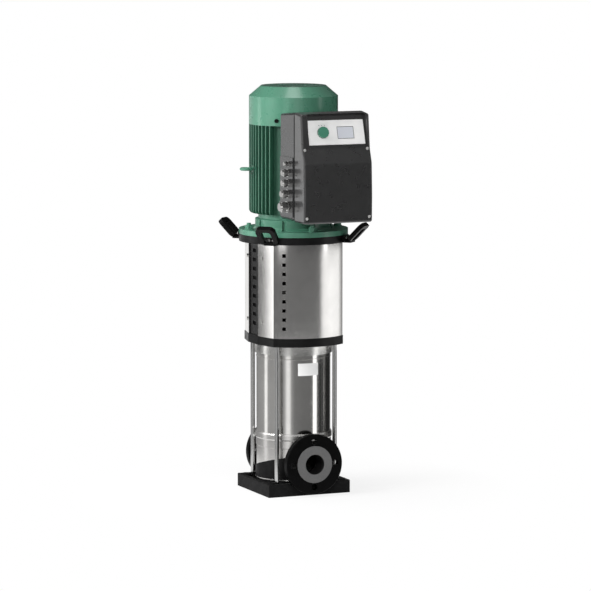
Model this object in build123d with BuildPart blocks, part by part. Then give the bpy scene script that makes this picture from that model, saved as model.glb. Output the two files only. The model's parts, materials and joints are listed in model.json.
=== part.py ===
"""Vertical multistage pump with a flange-mounted motor and a drive box on the motor.

Millimetres, +Z up. The origin is on the pump axis, at the underside of the base plate.
The suction port and the drive box face -Y, the discharge port faces +Y.
"""
import os
from math import cos, radians, sin, sqrt, tan

from build123d import *

os.makedirs("parts", exist_ok=True)

# Clearances
FACE_GAP = 0.3
FIT = 0.2
SLIDING = 0.08
RUNNING = 0.5

# Base plate
BASE_X = 242.0
BASE_Y = 228.0
BASE_HEIGHT = 35.0
BASE_CORNER = 2.0
TRAY_CORNER = 6.0
BASE_RIM = 11.0
TRAY_FLOOR = 22.0
SEAT_PAD_TOP = 38.0
FOOT_X = 104.0
FOOT_Y = 90.0
FOOT_HOLE_R = 6.5
FOOT_BOSS_R = 11.5
FOOT_BOSS_TOP = 37.5

# Tie rods
ROD_X = 86.0
ROD_Y = 86.0
ROD_R = 6.2
ROD_FOOT_DEPTH = 14.0
ROD_ABOVE_NUT = 6.0
ROD_NUT_AF = 19.0
ROD_NUT_HEIGHT = 10.0

# Pump housing with its two in-line ports
HOUSING_R = 102.2
HOUSING_WALL = 3.0
HOUSING_FLOOR = 4.0
FOOT_RIM_R = 105.6
FOOT_RIM_HEIGHT = 3.0
BAND_R = 104.0
BAND_LOW = 126.0
RIM_R = 106.0
RIM_LOW = 148.5
RIM_TOP = 167.6
SOCKET_DEPTH = 10.6
PORT_Z = 90.0
PORT_FACE = 150.0
PORT_BORE_R = 27.25
PORT_WALL = 2.9
COLLAR_R = 51.0
COLLAR_THICK = 3.0
FLANGE_R = 82.5
FLANGE_THICK = 19.0
FLANGE_PCD = 125.0
FLANGE_HOLE_R = 9.0
FLANGE_CHAMFER = 1.5

# Cast cradle round the lower housing, with a slanted upper edge
CRADLE_WALL = 2.4
CRADLE_MID_TOP = 79.2
CRADLE_SLOPE = 15.0

# Flow divider between suction and discharge chambers
DIVIDER_THICK = 4.0
DIVIDER_TOP = 154.0
DIVIDER_WALL_Y = 50.0
DIVIDER_EYE_R = 40.0

# Drain and vent plugs: angle and height of each
DRAIN_PLUG = (-118.0, 152.0)
VENT_PLUG = (150.0, 405.0)
PLUG_R = 4.0
PLUG_AF = 13.0
PLUG_HEAD = 6.0
PLUG_DEPTH = 5.0
PLUG_STAND = 0.1

# Jacket and head
JACKET_WALL = 2.2
BEAD_R = 103.2
BEAD_Z = 374.0
BEAD_HALF = 1.6
HEAD_R = 107.0
HEAD_LOW = 385.0
HEAD_TOP = 412.7
HEAD_SOCKET_DEPTH = 14.0
ORING_GROOVE = 1.6
ORING_HEIGHT = 3.0
ORING_INSET = 3.0

# Stages
STAGES = 3
STAGE_PITCH = 70.0
CASING_R = 92.0
CASING_WALL = 3.0
CASING_FLOOR = 4.0
EYE_R = 34.5
DIFFUSER_LOW = 36.0
DIFFUSER_THICK = 3.0
DIFFUSER_R = 80.0
DIFFUSER_VANES = 6
DIFFUSER_VANE_THICK = 3.0
BUSH_R = 24.0
BUSH_HEIGHT = 10.0
IMPELLER_R = 75.0
IMPELLER_LOW = 8.0
SHROUD = 2.0
IMPELLER_WIDTH = 16.0
IMPELLER_BLADES = 6
BLADE_THICK = 2.5
BLADE_ARC = ((31.5, 0), (50, 14), (60, 40))
HUB_R = 20.0
EYE_LIP = 4.0

# Pump shaft, seal and coupling
SHAFT_R = 12.5
SHAFT_HEAD_R = 19.0
SHAFT_HEAD_HEIGHT = 10.0
SHAFT_TOP = 588.0
SEAL_R = 21.0
SEAT_R = 24.0
SEAT_HEIGHT = 7.0
SEAL_LEDGE = 3.7
COUPLING_R = 45.0
COUPLING_LOW = 520.0
COUPLING_TOP = 700.0
COUPLING_SLIT = 2.0
COUPLING_BOLT_R = 5.0
COUPLING_BOLT_X = 32.0
COUPLING_BOLT_RISE = 28.0
COUPLING_SPOT = 10.0

# Lantern between pump and motor
LANTERN_BASE_TOP = 436.0
LANTERN_TOP_LOW = 692.8
LANTERN_TOP = 713.0
LANTERN_LIP = 1.0
LANTERN_BORE_R = 62.0
COLUMN_OUTER = 111.0
COLUMN_PLATE = 8.0
COLUMN_HALF_Y = 56.0
COLUMN_RIB = 15.0
COLUMN_RIB_THICK = 8.0
COLUMN_RIB_Y = 42.0
TOP_RING_R = 150.0
TOP_RING_BORE_R = 95.0
SPIGOT_R = 115.0
SPIGOT_DEPTH = 4.0

# Coupling guards
GUARD_SHEET = 1.5
GUARD_CORNER = 102.5
GUARD_FRONT = 140.5
WING_X = 119.7
WING_Y = 33.4
VENT_PANEL_X = 115.8
VENT_PANEL_HALF_Y = 40.0
SLOT = 10.0
SIDE_SLOT_WIDTH = 24.0
SLOT_PITCH = 25.0
SLOT_COUNT = 9
SIDE_SLOT_LOW = 468.4
FRONT_SLOT_LOW = 463.2
FRONT_SLOT_ANGLE = -33.4
GUARD_SCREW_Y = 50.3
GUARD_SCREW_Z = (475.8, 650.4)
GUARD_SCREW_R = 2.5
GUARD_SCREW_HEAD_R = 5.0
GUARD_SCREW_HEAD = 3.0
GUARD_SCREW_DEPTH = 5.0

# Lifting handles
CORNER_ANGLES = (-135.0, -45.0, 45.0, 135.0)
HANDLE_TILT = 46.0
HANDLE_WIDTH = 55.0
HANDLE_LENGTH = 62.0
HANDLE_THICK = 12.0
HANDLE_RAIL = 13.0
HANDLE_SILL = 4.0
HANDLE_CORNER = 14.0
HANDLE_INNER_CORNER = 6.0
HANDLE_REACH = 18.9
HANDLE_RISE = 6.8
PAD_THICK = 8.0
PAD_WIDTH = 34.0
PAD_LOW = 693.0
PAD_TOP = 713.0
WEB_TOP = 698.5
HANDLE_BOLT_Y = 8.0
HANDLE_BOLT_Z = 705.5
HANDLE_BOLT_R = 3.0
HANDLE_BOLT_AF = 11.0
HANDLE_BOLT_HEAD = 5.0
HANDLE_BOLT_GRIP = 14.0

# Motor
MOTOR_FLANGE_TOP = 727.0
MOTOR_PCD = 265.0
MOTOR_BOLT_HOLE_R = 7.0
MOTOR_STUD_R = 6.0
MOTOR_NUT_AF = 19.0
MOTOR_STUD_TOP = 745.0
MOTOR_STUD_LOW = 698.0
NECK_R = 105.5
NECK_TOP = 757.0
NECK_WALL = 8.0
NECK_GROOVES = 8
NECK_GROOVE_FIRST = -82.0
NECK_GROOVE_WIDTH = 11.0
NECK_GROOVE_DEPTH = 4.5
FRAME_SPIGOT_R = 96.8
FRAME_LOW = 770.0
FRAME_TOP = 1013.5
FRAME_R = 101.0
FRAME_STEP = 10.0
STATOR_R = 93.3
FIN_R = 122.0
FIN_THICK = 3.6
FIN_ROOT_R = 97.0
FIN_COUNT = 40
FIN_FIRST = 55.3
FIN_ROUND = 9.0
STATOR_LOW = 805.0
STATOR_TOP = 975.0
ROTOR_R = 60.0
WINDING_R = 88.0
WINDING_HEIGHT = 18.0
MOTOR_SHAFT_LOW = 633.0
MOTOR_SHAFT_R = 19.0
BEARING_BORE_R = 20.0
BEARING_INNER_R = 28.0
DE_BEARING_R = 45.0
DE_BEARING_LOW = 729.0
DE_BEARING_WIDTH = 23.0
NDE_BEARING_R = 40.0
NDE_BEARING_LOW = 1001.0
NDE_BEARING_WIDTH = 18.0
BEARING_HOUSING_WALL = 11.0
ROTOR_SHAFT_R = 27.0
FAN_SHAFT_R = 15.0
FAN_SHAFT_TOP = 1066.0
REAR_PLATE_THICK = 5.5
REAR_LUG_TOP = 1038.0
REAR_LUG_WIDTH = 16.0
REAR_LUG_DEPTH = 12.0
FAN_HUB_R = 24.0
FAN_LOW = 1032.0
FAN_TOP = 1064.0
FAN_R = 100.0
FAN_BLADES = 7
FAN_BLADE_THICK = 3.0
COWL_WALL = 1.5
COWL_SHOULDER = 1091.0
COWL_TOP = 1119.0
COWL_TOP_R = 89.0
GRILLE_SLOTS = 24
GRILLE_SLOT_WIDTH = 5.0
GRILLE_INNER = 30.0
GRILLE_OUTER = 78.0
GRILLE_MID = 54.0
GRILLE_BRIDGE = 6.0
COWL_SCREW_Z = 1028.0
COWL_SCREW_R = 2.5
COWL_SCREW_HEAD_R = 5.5
COWL_SCREW_HEAD = 3.0
EYE_Z = 893.0
EYE_RING_R = 17.5
EYE_BAR_R = 4.2
EYE_CENTRE_R = 140.5
EYE_SHANK_R = 4.0
EYE_BOSS_R = 10.0

# Motor pedestal that carries the drive
PEDESTAL_X = 64.0
PEDESTAL_FRONT = 147.0
PEDESTAL_LOW = 770.0
PEDESTAL_TOP = 1008.0
PEDESTAL_WALL = 10.0
PEDESTAL_BACK = 60.0
PEDESTAL_CLEAR = 6.0

# Display pocket, in a plane that leans back
DISPLAY_TILT = 17.0
DISPLAY_FOOT_Y = 288.0
DISPLAY_FOOT_Z = 966.0
DISPLAY_X = 6.5
DISPLAY_WIDTH = 163.0
DISPLAY_LOW = 9.5
DISPLAY_HEIGHT = 67.5
DISPLAY_THICK = 3.0
POCKET_MARGIN = 5.0
POCKET_SILL = 5.5
POCKET_HEADROOM = 15.0
WINDOW_X = 33.5
WINDOW_UP = 42.0
WINDOW_WIDTH = 46.0
WINDOW_HEIGHT = 31.0
KNOB_X = -33.5
KNOB_UP = 42.6
KNOB_R = 15.5
KNOB_THICK = 8.0
KNOB_GAP = 1.2
KNOB_FLUTES = 12
FLUTE_R = 2.0
PLUNGER_R = 3.0
PLUNGER_IN_KNOB = 5.0
PLUNGER_HOLE_R = 4.0
ENCODER_SIZE = 18.0
ENCODER_DEPTH = 12.0
PLUNGER_DEPTH = 13.5

# Drive box, as wide as its display needs
COVER_SIDE = 7.0
DRIVE_X = DISPLAY_X + DISPLAY_WIDTH / 2 + POCKET_MARGIN + COVER_SIDE
DRIVE_LOW = 768.0
DRIVE_TOP = 1061.0
BODY_REAR_DROP = 7.0
BODY_FRONT = 240.0
BODY_WALL = 4.0
BODY_CORNER = 8.0
COVER_BACK = 243.0
GASKET_INSET = 1.5
GASKET_WIDTH = 10.0
COVER_WALL = 3.0
COVER_LOW = 766.0
COVER_FRONT = ((306.5, COVER_LOW), (307.9, 840.0), (304.5, 926.0), (292.0, 962.0), (282.0, 1056.0))
COVER_BEND = 40.0
COVER_EDGE = 6.0
COVER_SHELL = 4.0
GLAND_PLATE = 3.0
GLAND_PLATE_FRONT = 235.0
GLAND_PLATE_LOW = 779.0
GLAND_PLATE_TOP = 939.0
GLAND_Y = 216.0
GLANDS = ((806.5, 15.8, 31.0), (841.5, 12.0, 27.0), (870.5, 11.5, 24.0), (898.0, 11.0, 24.0), (922.0, 7.5, 18.0))
COVER_SCREW_Z = (781.0, 962.7)
COVER_SCREW_INSET = 9.0
COVER_SCREW_R = 2.0
COVER_SCREW_HEAD_R = 4.2
COVER_SCREW_HEAD = 3.0
COVER_SCREW_SINK = 4.5
PILLAR_R = 6.0
SCREW_GRIP = 30.0
BOARD_BACK = 168.0
BOARD_THICK = 2.0
BOARD_INSET = 18.0
BOARD_LOW = 786.0
BOARD_TOP = 1040.0
BOARD_POST_R = 5.0
BOARD_POST_INSET = 8.0
BOARD_POST_RISE = 12.0
CAPACITOR_R = 15.0
CAPACITOR_HEIGHT = 32.0
CAPACITOR_Z = 830.0
CAPACITOR_PITCH = 40.0
COIL_WIDTH = 90.0
COIL_LENGTH = 60.0
COIL_HEIGHT = 24.0
COIL_Z = 960.0


def finish(piece, name):
    """Label a finished piece and write its file."""
    piece.part.label = name
    export_step(piece.part, f"parts/{name}.step")


def disc(radius, low, high, bore=0.0, mode=Mode.ADD):
    """A round plate, or a ring where it has a bore, between two heights."""
    with BuildSketch(Plane.XY.offset(low)) as ring:
        Circle(radius)
        if bore > 0:
            Circle(bore, mode=Mode.SUBTRACT)
    extrude(ring.sketch, amount=high - low, mode=mode)


def turned(points, mode=Mode.ADD):
    """A body of revolution about Z from (radius, height) points."""
    with BuildSketch(Plane.XZ) as profile:
        with BuildLine():
            Polyline(*points, close=True)
        make_face()
    revolve(profile.sketch, axis=Axis.Z, mode=mode)


def radial_plane(angle, height=0.0, radius=0.0):
    """A plane whose normal points away from the Z axis, with local y up. Angle 0 faces -Y."""
    away = (sin(radians(angle)), -cos(radians(angle)), 0)
    origin = (away[0] * radius, away[1] * radius, height)
    return Plane(origin=origin, x_dir=(-away[1], away[0], 0), z_dir=away)


def ahead(distance, height=0.0):
    """A plane facing -Y at the given distance ahead of the axis, local x to the right, local y up."""
    return Plane(origin=(0, -distance, height), x_dir=(1, 0, 0), z_dir=(0, -1, 0))


def hexagon(across_flats):
    RegularPolygon(radius=across_flats / sqrt(3), side_count=6)


# Base plate: a tray with a rim, four foot bosses and a round seat for the housing
with BuildPart() as base_plate:
    with BuildSketch():
        RectangleRounded(BASE_X, BASE_Y, BASE_CORNER)
    extrude(amount=BASE_HEIGHT)
    chamfer(base_plate.faces().sort_by(Axis.Z)[-1].edges(), length=1.2)
    with BuildSketch(Plane.XY.offset(TRAY_FLOOR)):
        RectangleRounded(BASE_X - 2 * BASE_RIM, BASE_Y - 2 * BASE_RIM, TRAY_CORNER)
    extrude(amount=BASE_HEIGHT - TRAY_FLOOR, mode=Mode.SUBTRACT)
    with BuildSketch(Plane.XY.offset(TRAY_FLOOR)):
        with GridLocations(2 * FOOT_X, 2 * FOOT_Y, 2, 2):
            Circle(FOOT_BOSS_R)
    extrude(amount=FOOT_BOSS_TOP - TRAY_FLOOR)
    disc(HOUSING_R, TRAY_FLOOR, SEAT_PAD_TOP)
    with BuildSketch():
        with GridLocations(2 * FOOT_X, 2 * FOOT_Y, 2, 2):
            Circle(FOOT_HOLE_R)
    extrude(amount=SEAT_PAD_TOP, mode=Mode.SUBTRACT)
    with BuildSketch(Plane.XY.offset(TRAY_FLOOR)):
        with GridLocations(2 * ROD_X, 2 * ROD_Y, 2, 2):
            Circle(ROD_R + FIT)
    extrude(amount=-ROD_FOOT_DEPTH, mode=Mode.SUBTRACT)
finish(base_plate, "base_plate")

# Pump housing: a drawn shell with two port stubs, each with a lapped collar
housing_bore = HOUSING_R - HOUSING_WALL
socket_r = HOUSING_R + FIT
socket_low = RIM_TOP - SOCKET_DEPTH
with BuildPart() as pump_housing:
    turned([
        (0, SEAT_PAD_TOP),
        (FOOT_RIM_R, SEAT_PAD_TOP),
        (FOOT_RIM_R, SEAT_PAD_TOP + FOOT_RIM_HEIGHT),
        (HOUSING_R, SEAT_PAD_TOP + FOOT_RIM_HEIGHT),
        (HOUSING_R, BAND_LOW),
        (BAND_R, BAND_LOW + 1.5),
        (BAND_R, RIM_LOW),
        (RIM_R, RIM_LOW + 3),
        (RIM_R, RIM_TOP - 5),
        (BAND_R, RIM_TOP),
        (0, RIM_TOP),
    ])
    with BuildSketch(Plane.XZ.offset(-PORT_FACE)):
        with Locations((0, PORT_Z)):
            Circle(COLLAR_R)
    extrude(amount=COLLAR_THICK)
    with BuildSketch(Plane.XZ.offset(PORT_FACE)):
        with Locations((0, PORT_Z)):
            Circle(COLLAR_R)
    extrude(amount=-COLLAR_THICK)
    with BuildSketch(Plane.XZ):
        with Locations((0, PORT_Z)):
            Circle(PORT_BORE_R + PORT_WALL)
    extrude(amount=PORT_FACE, both=True)
    disc(housing_bore, SEAT_PAD_TOP + HOUSING_FLOOR, RIM_TOP, mode=Mode.SUBTRACT)
    disc(socket_r, socket_low, RIM_TOP, mode=Mode.SUBTRACT)
    disc(socket_r + ORING_GROOVE, socket_low + ORING_INSET, socket_low + ORING_INSET + ORING_HEIGHT,
         mode=Mode.SUBTRACT)
    with BuildSketch(Plane.XZ):
        with Locations((0, PORT_Z)):
            Circle(PORT_BORE_R)
    extrude(amount=PORT_FACE, both=True, mode=Mode.SUBTRACT)
    with BuildSketch(radial_plane(*DRAIN_PLUG, housing_bore - HOUSING_WALL)):
        Circle(PLUG_R + FIT)
    extrude(amount=RIM_R, mode=Mode.SUBTRACT)
finish(pump_housing, "pump_housing")

# Cradle: a cast band round the lower housing, cut off along a slant and open round the front stub
with BuildPart() as housing_cradle:
    cradle_low = SEAT_PAD_TOP + FOOT_RIM_HEIGHT
    disc(HOUSING_R + FIT + CRADLE_WALL, cradle_low, BAND_LOW, bore=HOUSING_R + FIT)
    slant = Plane(
        origin=(0, 0, CRADLE_MID_TOP),
        x_dir=(1, 0, 0),
        z_dir=(0, sin(radians(CRADLE_SLOPE)), cos(radians(CRADLE_SLOPE))),
    )
    split(bisect_by=slant, keep=Keep.BOTTOM)
    with BuildSketch(Plane.XZ):
        with Locations((0, PORT_Z)):
            Circle(PORT_BORE_R + PORT_WALL + FIT)
    extrude(amount=PORT_FACE, mode=Mode.SUBTRACT)
finish(housing_cradle, "housing_cradle")

# Flow divider: a plate under the stages and a wall that parts suction from discharge
with BuildPart() as flow_divider:
    divider_r = housing_bore - FIT
    with BuildSketch(Plane.XY.offset(DIVIDER_TOP - DIVIDER_THICK)):
        Circle(divider_r)
        with Locations((0, DIVIDER_WALL_Y + divider_r)):
            Rectangle(2 * divider_r, 2 * divider_r, mode=Mode.SUBTRACT)
        Circle(DIVIDER_EYE_R, mode=Mode.SUBTRACT)
    extrude(amount=DIVIDER_THICK)
    with BuildSketch(Plane.XY.offset(SEAT_PAD_TOP + HOUSING_FLOOR)):
        Circle(divider_r)
        with Locations((0, DIVIDER_WALL_Y - DIVIDER_THICK / 2)):
            Rectangle(2 * divider_r, DIVIDER_THICK, mode=Mode.INTERSECT)
    extrude(amount=DIVIDER_TOP - DIVIDER_THICK - SEAT_PAD_TOP - HOUSING_FLOOR)
finish(flow_divider, "flow_divider")


def loose_flange(direction):
    """A loose pipe flange behind the lapped collar on one side, -1 for the front."""
    collar_back = PORT_FACE - COLLAR_THICK
    with BuildPart() as flange:
        with BuildSketch(Plane.XZ.offset(-direction * collar_back)):
            with Locations((0, PORT_Z)):
                Circle(FLANGE_R)
                Circle(PORT_BORE_R + PORT_WALL + FIT, mode=Mode.SUBTRACT)
                with PolarLocations(FLANGE_PCD / 2, 4):
                    Circle(FLANGE_HOLE_R, mode=Mode.SUBTRACT)
        extrude(amount=direction * FLANGE_THICK)
        rims = flange.edges().filter_by(GeomType.CIRCLE).group_by(SortBy.RADIUS)[-1]
        chamfer(rims, length=FLANGE_CHAMFER)
    return flange


finish(loose_flange(-1), "suction_flange")
finish(loose_flange(1), "discharge_flange")

# Jacket: a plain tube with a rolled bead near its top
jacket_low = socket_low
jacket_top = HEAD_LOW + HEAD_SOCKET_DEPTH
with BuildPart() as outer_jacket:
    disc(HOUSING_R, jacket_low, jacket_top)
    turned([
        (HOUSING_R - 1, BEAD_Z - BEAD_HALF),
        (BEAD_R, BEAD_Z - BEAD_HALF / 2),
        (BEAD_R, BEAD_Z + BEAD_HALF / 2),
        (HOUSING_R - 1, BEAD_Z + BEAD_HALF),
    ])
    disc(HOUSING_R - JACKET_WALL, jacket_low, jacket_top, mode=Mode.SUBTRACT)
finish(outer_jacket, "outer_jacket")

# Pump head: a stainless band with a top plate and the seal chamber
seat_top = HEAD_TOP - SEAL_LEDGE
with BuildPart() as pump_head:
    disc(HEAD_R, HEAD_LOW, HEAD_TOP)
    disc(socket_r, HEAD_LOW, jacket_top, mode=Mode.SUBTRACT)
    disc(socket_r + ORING_GROOVE, HEAD_LOW + ORING_INSET, HEAD_LOW + ORING_INSET + ORING_HEIGHT,
         mode=Mode.SUBTRACT)
    disc(SEAT_R + FIT, jacket_top, seat_top, mode=Mode.SUBTRACT)
    disc(SHAFT_R + RUNNING, seat_top, HEAD_TOP, mode=Mode.SUBTRACT)
    with BuildSketch(radial_plane(*VENT_PLUG, HEAD_R - 2 * PLUG_DEPTH)):
        Circle(PLUG_R + FIT)
    extrude(amount=HEAD_R, mode=Mode.SUBTRACT)
finish(pump_head, "pump_head")

# O-rings of the jacket, in the grooves of housing and head
with BuildPart() as jacket_orings:
    for groove_low in (socket_low + ORING_INSET, HEAD_LOW + ORING_INSET):
        disc(socket_r + ORING_GROOVE - FIT, groove_low + FIT, groove_low + ORING_HEIGHT - FIT,
             bore=HOUSING_R + FIT / 4)
finish(jacket_orings, "jacket_orings")

# Drain plug at the foot of the jacket and vent plug on the head
with BuildPart() as pipe_plugs:
    for place, seat in ((DRAIN_PLUG, RIM_R), (VENT_PLUG, HEAD_R)):
        with BuildSketch(radial_plane(*place, seat + PLUG_STAND)):
            hexagon(PLUG_AF)
        extrude(amount=PLUG_HEAD)
        with BuildSketch(radial_plane(*place, seat - PLUG_DEPTH)):
            Circle(PLUG_R)
        extrude(amount=PLUG_HEAD)
finish(pipe_plugs, "pipe_plugs")


def stage_low(index):
    return DIVIDER_TOP + index * STAGE_PITCH


# Stage casings: a bowl with an eye in its floor and a return plate held by vanes
for index in range(STAGES):
    low = stage_low(index)
    with BuildPart() as stage_casing:
        disc(CASING_R, low, low + STAGE_PITCH, bore=CASING_R - CASING_WALL)
        disc(CASING_R - CASING_WALL / 2, low, low + CASING_FLOOR, bore=EYE_R)
        disc(DIFFUSER_R, low + DIFFUSER_LOW, low + DIFFUSER_LOW + DIFFUSER_THICK, bore=BUSH_R + FIT)
        vane_low = low + DIFFUSER_LOW
        with BuildSketch(Plane.XY.offset(vane_low)):
            with PolarLocations(CASING_R / 2 + HUB_R / 2 + 4, DIFFUSER_VANES):
                Rectangle(CASING_R - HUB_R - 10, DIFFUSER_VANE_THICK, rotation=12)
            Circle(CASING_R - CASING_WALL / 2, mode=Mode.INTERSECT)
        extrude(amount=STAGE_PITCH - DIFFUSER_LOW - 2)
        disc(BUSH_R + FIT, vane_low, low + STAGE_PITCH, mode=Mode.SUBTRACT)
    finish(stage_casing, f"stage_casing_{index + 1}")

# Bushes in which the impeller hubs run
with BuildPart() as stage_bushes:
    for index in range(STAGES):
        bush_low = stage_low(index) + DIFFUSER_LOW - 2
        disc(BUSH_R, bush_low, bush_low + BUSH_HEIGHT, bore=HUB_R + SLIDING)
finish(stage_bushes, "stage_bushes")

# Impellers: two shrouds with curved blades between them, and a hub as long as the stage
with BuildSketch() as blade_sketch:
    with BuildLine():
        ThreePointArc(*BLADE_ARC)
    trace(line_width=BLADE_THICK)
for index in range(STAGES):
    low = stage_low(index) + IMPELLER_LOW
    blade_low = low + SHROUD
    blade_top = blade_low + IMPELLER_WIDTH
    with BuildPart() as impeller:
        disc(IMPELLER_R, low, blade_low, bore=EYE_R - RUNNING - 4)
        disc(EYE_R - RUNNING, low - EYE_LIP - 1, blade_low, bore=EYE_R - RUNNING - 4)
        disc(IMPELLER_R, blade_top, blade_top + SHROUD)
        with BuildSketch(Plane.XY.offset(blade_low - SHROUD / 2)):
            with PolarLocations(0, IMPELLER_BLADES):
                add(blade_sketch.sketch)
        extrude(amount=IMPELLER_WIDTH + SHROUD)
        disc(HUB_R, low, low + STAGE_PITCH)
        disc(SHAFT_R + SLIDING, low, low + STAGE_PITCH, mode=Mode.SUBTRACT)
    finish(impeller, f"impeller_{index + 1}")

# Pump shaft with its head under the first impeller
hub_low = stage_low(0) + IMPELLER_LOW
hub_top = hub_low + STAGES * STAGE_PITCH
with BuildPart() as pump_shaft:
    disc(SHAFT_HEAD_R, hub_low - SHAFT_HEAD_HEIGHT, hub_low)
    disc(SHAFT_R, hub_low, SHAFT_TOP)
finish(pump_shaft, "pump_shaft")

# Mechanical seal: the rotating ring stands on the last hub, the seat hangs in the head
with BuildPart() as seal_seat:
    disc(SEAT_R, seat_top - SEAT_HEIGHT, seat_top, bore=SHAFT_R + RUNNING)
finish(seal_seat, "seal_seat")

with BuildPart() as seal_rotating_ring:
    ring_top = seat_top - SEAT_HEIGHT - FACE_GAP
    disc(SEAL_R, hub_top, ring_top, bore=SHAFT_R + SLIDING)
    disc(SEAL_R + 1, hub_top + 8, ring_top - 8, bore=SEAL_R - 3, mode=Mode.SUBTRACT)
finish(seal_rotating_ring, "seal_rotating_ring")

# Coupling: two clamped half shells with four bolts
with BuildPart() as coupling_halves:
    disc(COUPLING_R, COUPLING_LOW, COUPLING_TOP)
    chamfer(coupling_halves.edges().filter_by(GeomType.CIRCLE), length=2)
    disc(SHAFT_R + SLIDING, COUPLING_LOW, SHAFT_TOP + 2, mode=Mode.SUBTRACT)
    disc(MOTOR_SHAFT_R + SLIDING, SHAFT_TOP + 2, COUPLING_TOP, mode=Mode.SUBTRACT)
    with BuildSketch(Plane.XY.offset(COUPLING_LOW)):
        Rectangle(3 * COUPLING_R, COUPLING_SLIT)
    extrude(amount=COUPLING_TOP - COUPLING_LOW, mode=Mode.SUBTRACT)
    for bolt_z in (COUPLING_LOW + COUPLING_BOLT_RISE, COUPLING_TOP - COUPLING_BOLT_RISE):
        for side in (-1, 1):
            with BuildSketch(Plane.XZ):
                with Locations((side * COUPLING_BOLT_X, bolt_z)):
                    Circle(COUPLING_BOLT_R + FIT)
            extrude(amount=COUPLING_R, both=True, mode=Mode.SUBTRACT)
            for face in (-1, 1):
                with BuildSketch(Plane.XZ.offset(face * 14)):
                    with Locations((side * COUPLING_BOLT_X, bolt_z)):
                        Circle(COUPLING_SPOT)
                extrude(amount=face * COUPLING_R, mode=Mode.SUBTRACT)
finish(coupling_halves, "coupling_halves")

with BuildPart() as coupling_bolts:
    for bolt_z in (COUPLING_LOW + COUPLING_BOLT_RISE, COUPLING_TOP - COUPLING_BOLT_RISE):
        for side in (-1, 1):
            with BuildSketch(Plane.XZ):
                with Locations((side * COUPLING_BOLT_X, bolt_z)):
                    Circle(COUPLING_BOLT_R)
            extrude(amount=16, both=True)
            for face in (-1, 1):
                with BuildSketch(Plane.XZ.offset(face * 14)):
                    with Locations((side * COUPLING_BOLT_X, bolt_z)):
                        hexagon(16)
                extrude(amount=face * 8)
finish(coupling_bolts, "coupling_bolts")


def guard_path(grow=0.0):
    """Half of the guard outline at the front: wing, bend, bowed shell, bend, wing."""
    corner = GUARD_CORNER + grow
    front = GUARD_FRONT + grow
    wing_x = WING_X + grow
    with BuildLine() as path:
        Line((-wing_x, -WING_Y), (-corner, -corner))
        ThreePointArc((-corner, -corner), (0, -front), (corner, -corner))
        Line((corner, -corner), (wing_x, -WING_Y))
    return path.line


# Lantern base: the black plate under the guards, in their outline and a little larger
with BuildPart() as lantern_base:
    with BuildSketch(Plane.XY.offset(HEAD_TOP)):
        with BuildLine():
            half = guard_path(LANTERN_LIP)
            add(half)
            add(half.mirror(Plane.XZ))
            Line((-WING_X - LANTERN_LIP, -WING_Y), (-WING_X - LANTERN_LIP, WING_Y))
            Line((WING_X + LANTERN_LIP, -WING_Y), (WING_X + LANTERN_LIP, WING_Y))
        make_face()
        Circle(LANTERN_BORE_R, mode=Mode.SUBTRACT)
        with GridLocations(2 * ROD_X, 2 * ROD_Y, 2, 2):
            Circle(ROD_R + FIT, mode=Mode.SUBTRACT)
    extrude(amount=LANTERN_BASE_TOP - HEAD_TOP)
finish(lantern_base, "lantern_base")

# Tie rods and their nuts
rod_low = TRAY_FLOOR - ROD_FOOT_DEPTH
nut_top = LANTERN_BASE_TOP + ROD_NUT_HEIGHT
with BuildPart() as tie_rods:
    with BuildSketch(Plane.XY.offset(rod_low)):
        with GridLocations(2 * ROD_X, 2 * ROD_Y, 2, 2):
            Circle(ROD_R)
    extrude(amount=nut_top + ROD_ABOVE_NUT - rod_low)
finish(tie_rods, "tie_rods")

with BuildPart() as tie_rod_nuts:
    with BuildSketch(Plane.XY.offset(LANTERN_BASE_TOP)):
        with GridLocations(2 * ROD_X, 2 * ROD_Y, 2, 2):
            hexagon(ROD_NUT_AF)
            Circle(ROD_R + FIT / 2, mode=Mode.SUBTRACT)
    extrude(amount=ROD_NUT_HEIGHT)
finish(tie_rod_nuts, "tie_rod_nuts")

# Wing screws: each place has its axis square to the wing of the guard
wing_angle = (GUARD_CORNER - WING_Y) / (WING_X - GUARD_CORNER)
wing_normal = Vector(wing_angle, 1, 0).normalized()
screw_x = WING_X - (GUARD_SCREW_Y - WING_Y) / wing_angle


def screw_planes():
    """Planes on the outer wing faces at the guard screws, facing outward."""
    planes = []
    for side_x in (-1, 1):
        for side_y in (-1, 1):
            for height in GUARD_SCREW_Z:
                origin = (side_x * screw_x, side_y * GUARD_SCREW_Y, height)
                normal = (side_x * wing_normal.X, side_y * wing_normal.Y, 0)
                planes.append(Plane(origin=origin, x_dir=(0, 0, 1), z_dir=normal))
    return planes


# Lantern columns: two ribbed channels beside the coupling
with BuildPart() as lantern_columns:
    with BuildSketch(Plane.XY.offset(LANTERN_BASE_TOP)):
        with Locations((-COLUMN_OUTER + COLUMN_PLATE / 2, 0), (COLUMN_OUTER - COLUMN_PLATE / 2, 0)):
            Rectangle(COLUMN_PLATE, 2 * COLUMN_HALF_Y)
        rib_x = COLUMN_OUTER - COLUMN_PLATE - COLUMN_RIB / 2
        with GridLocations(2 * rib_x, 2 * COLUMN_RIB_Y, 2, 2):
            Rectangle(COLUMN_RIB, COLUMN_RIB_THICK)
    extrude(amount=LANTERN_TOP_LOW - LANTERN_BASE_TOP)
    for plane in screw_planes():
        with BuildSketch(plane):
            Circle(GUARD_SCREW_R + FIT)
        extrude(amount=-GUARD_SCREW_DEPTH - 4, mode=Mode.SUBTRACT)
finish(lantern_columns, "lantern_columns")

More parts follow.
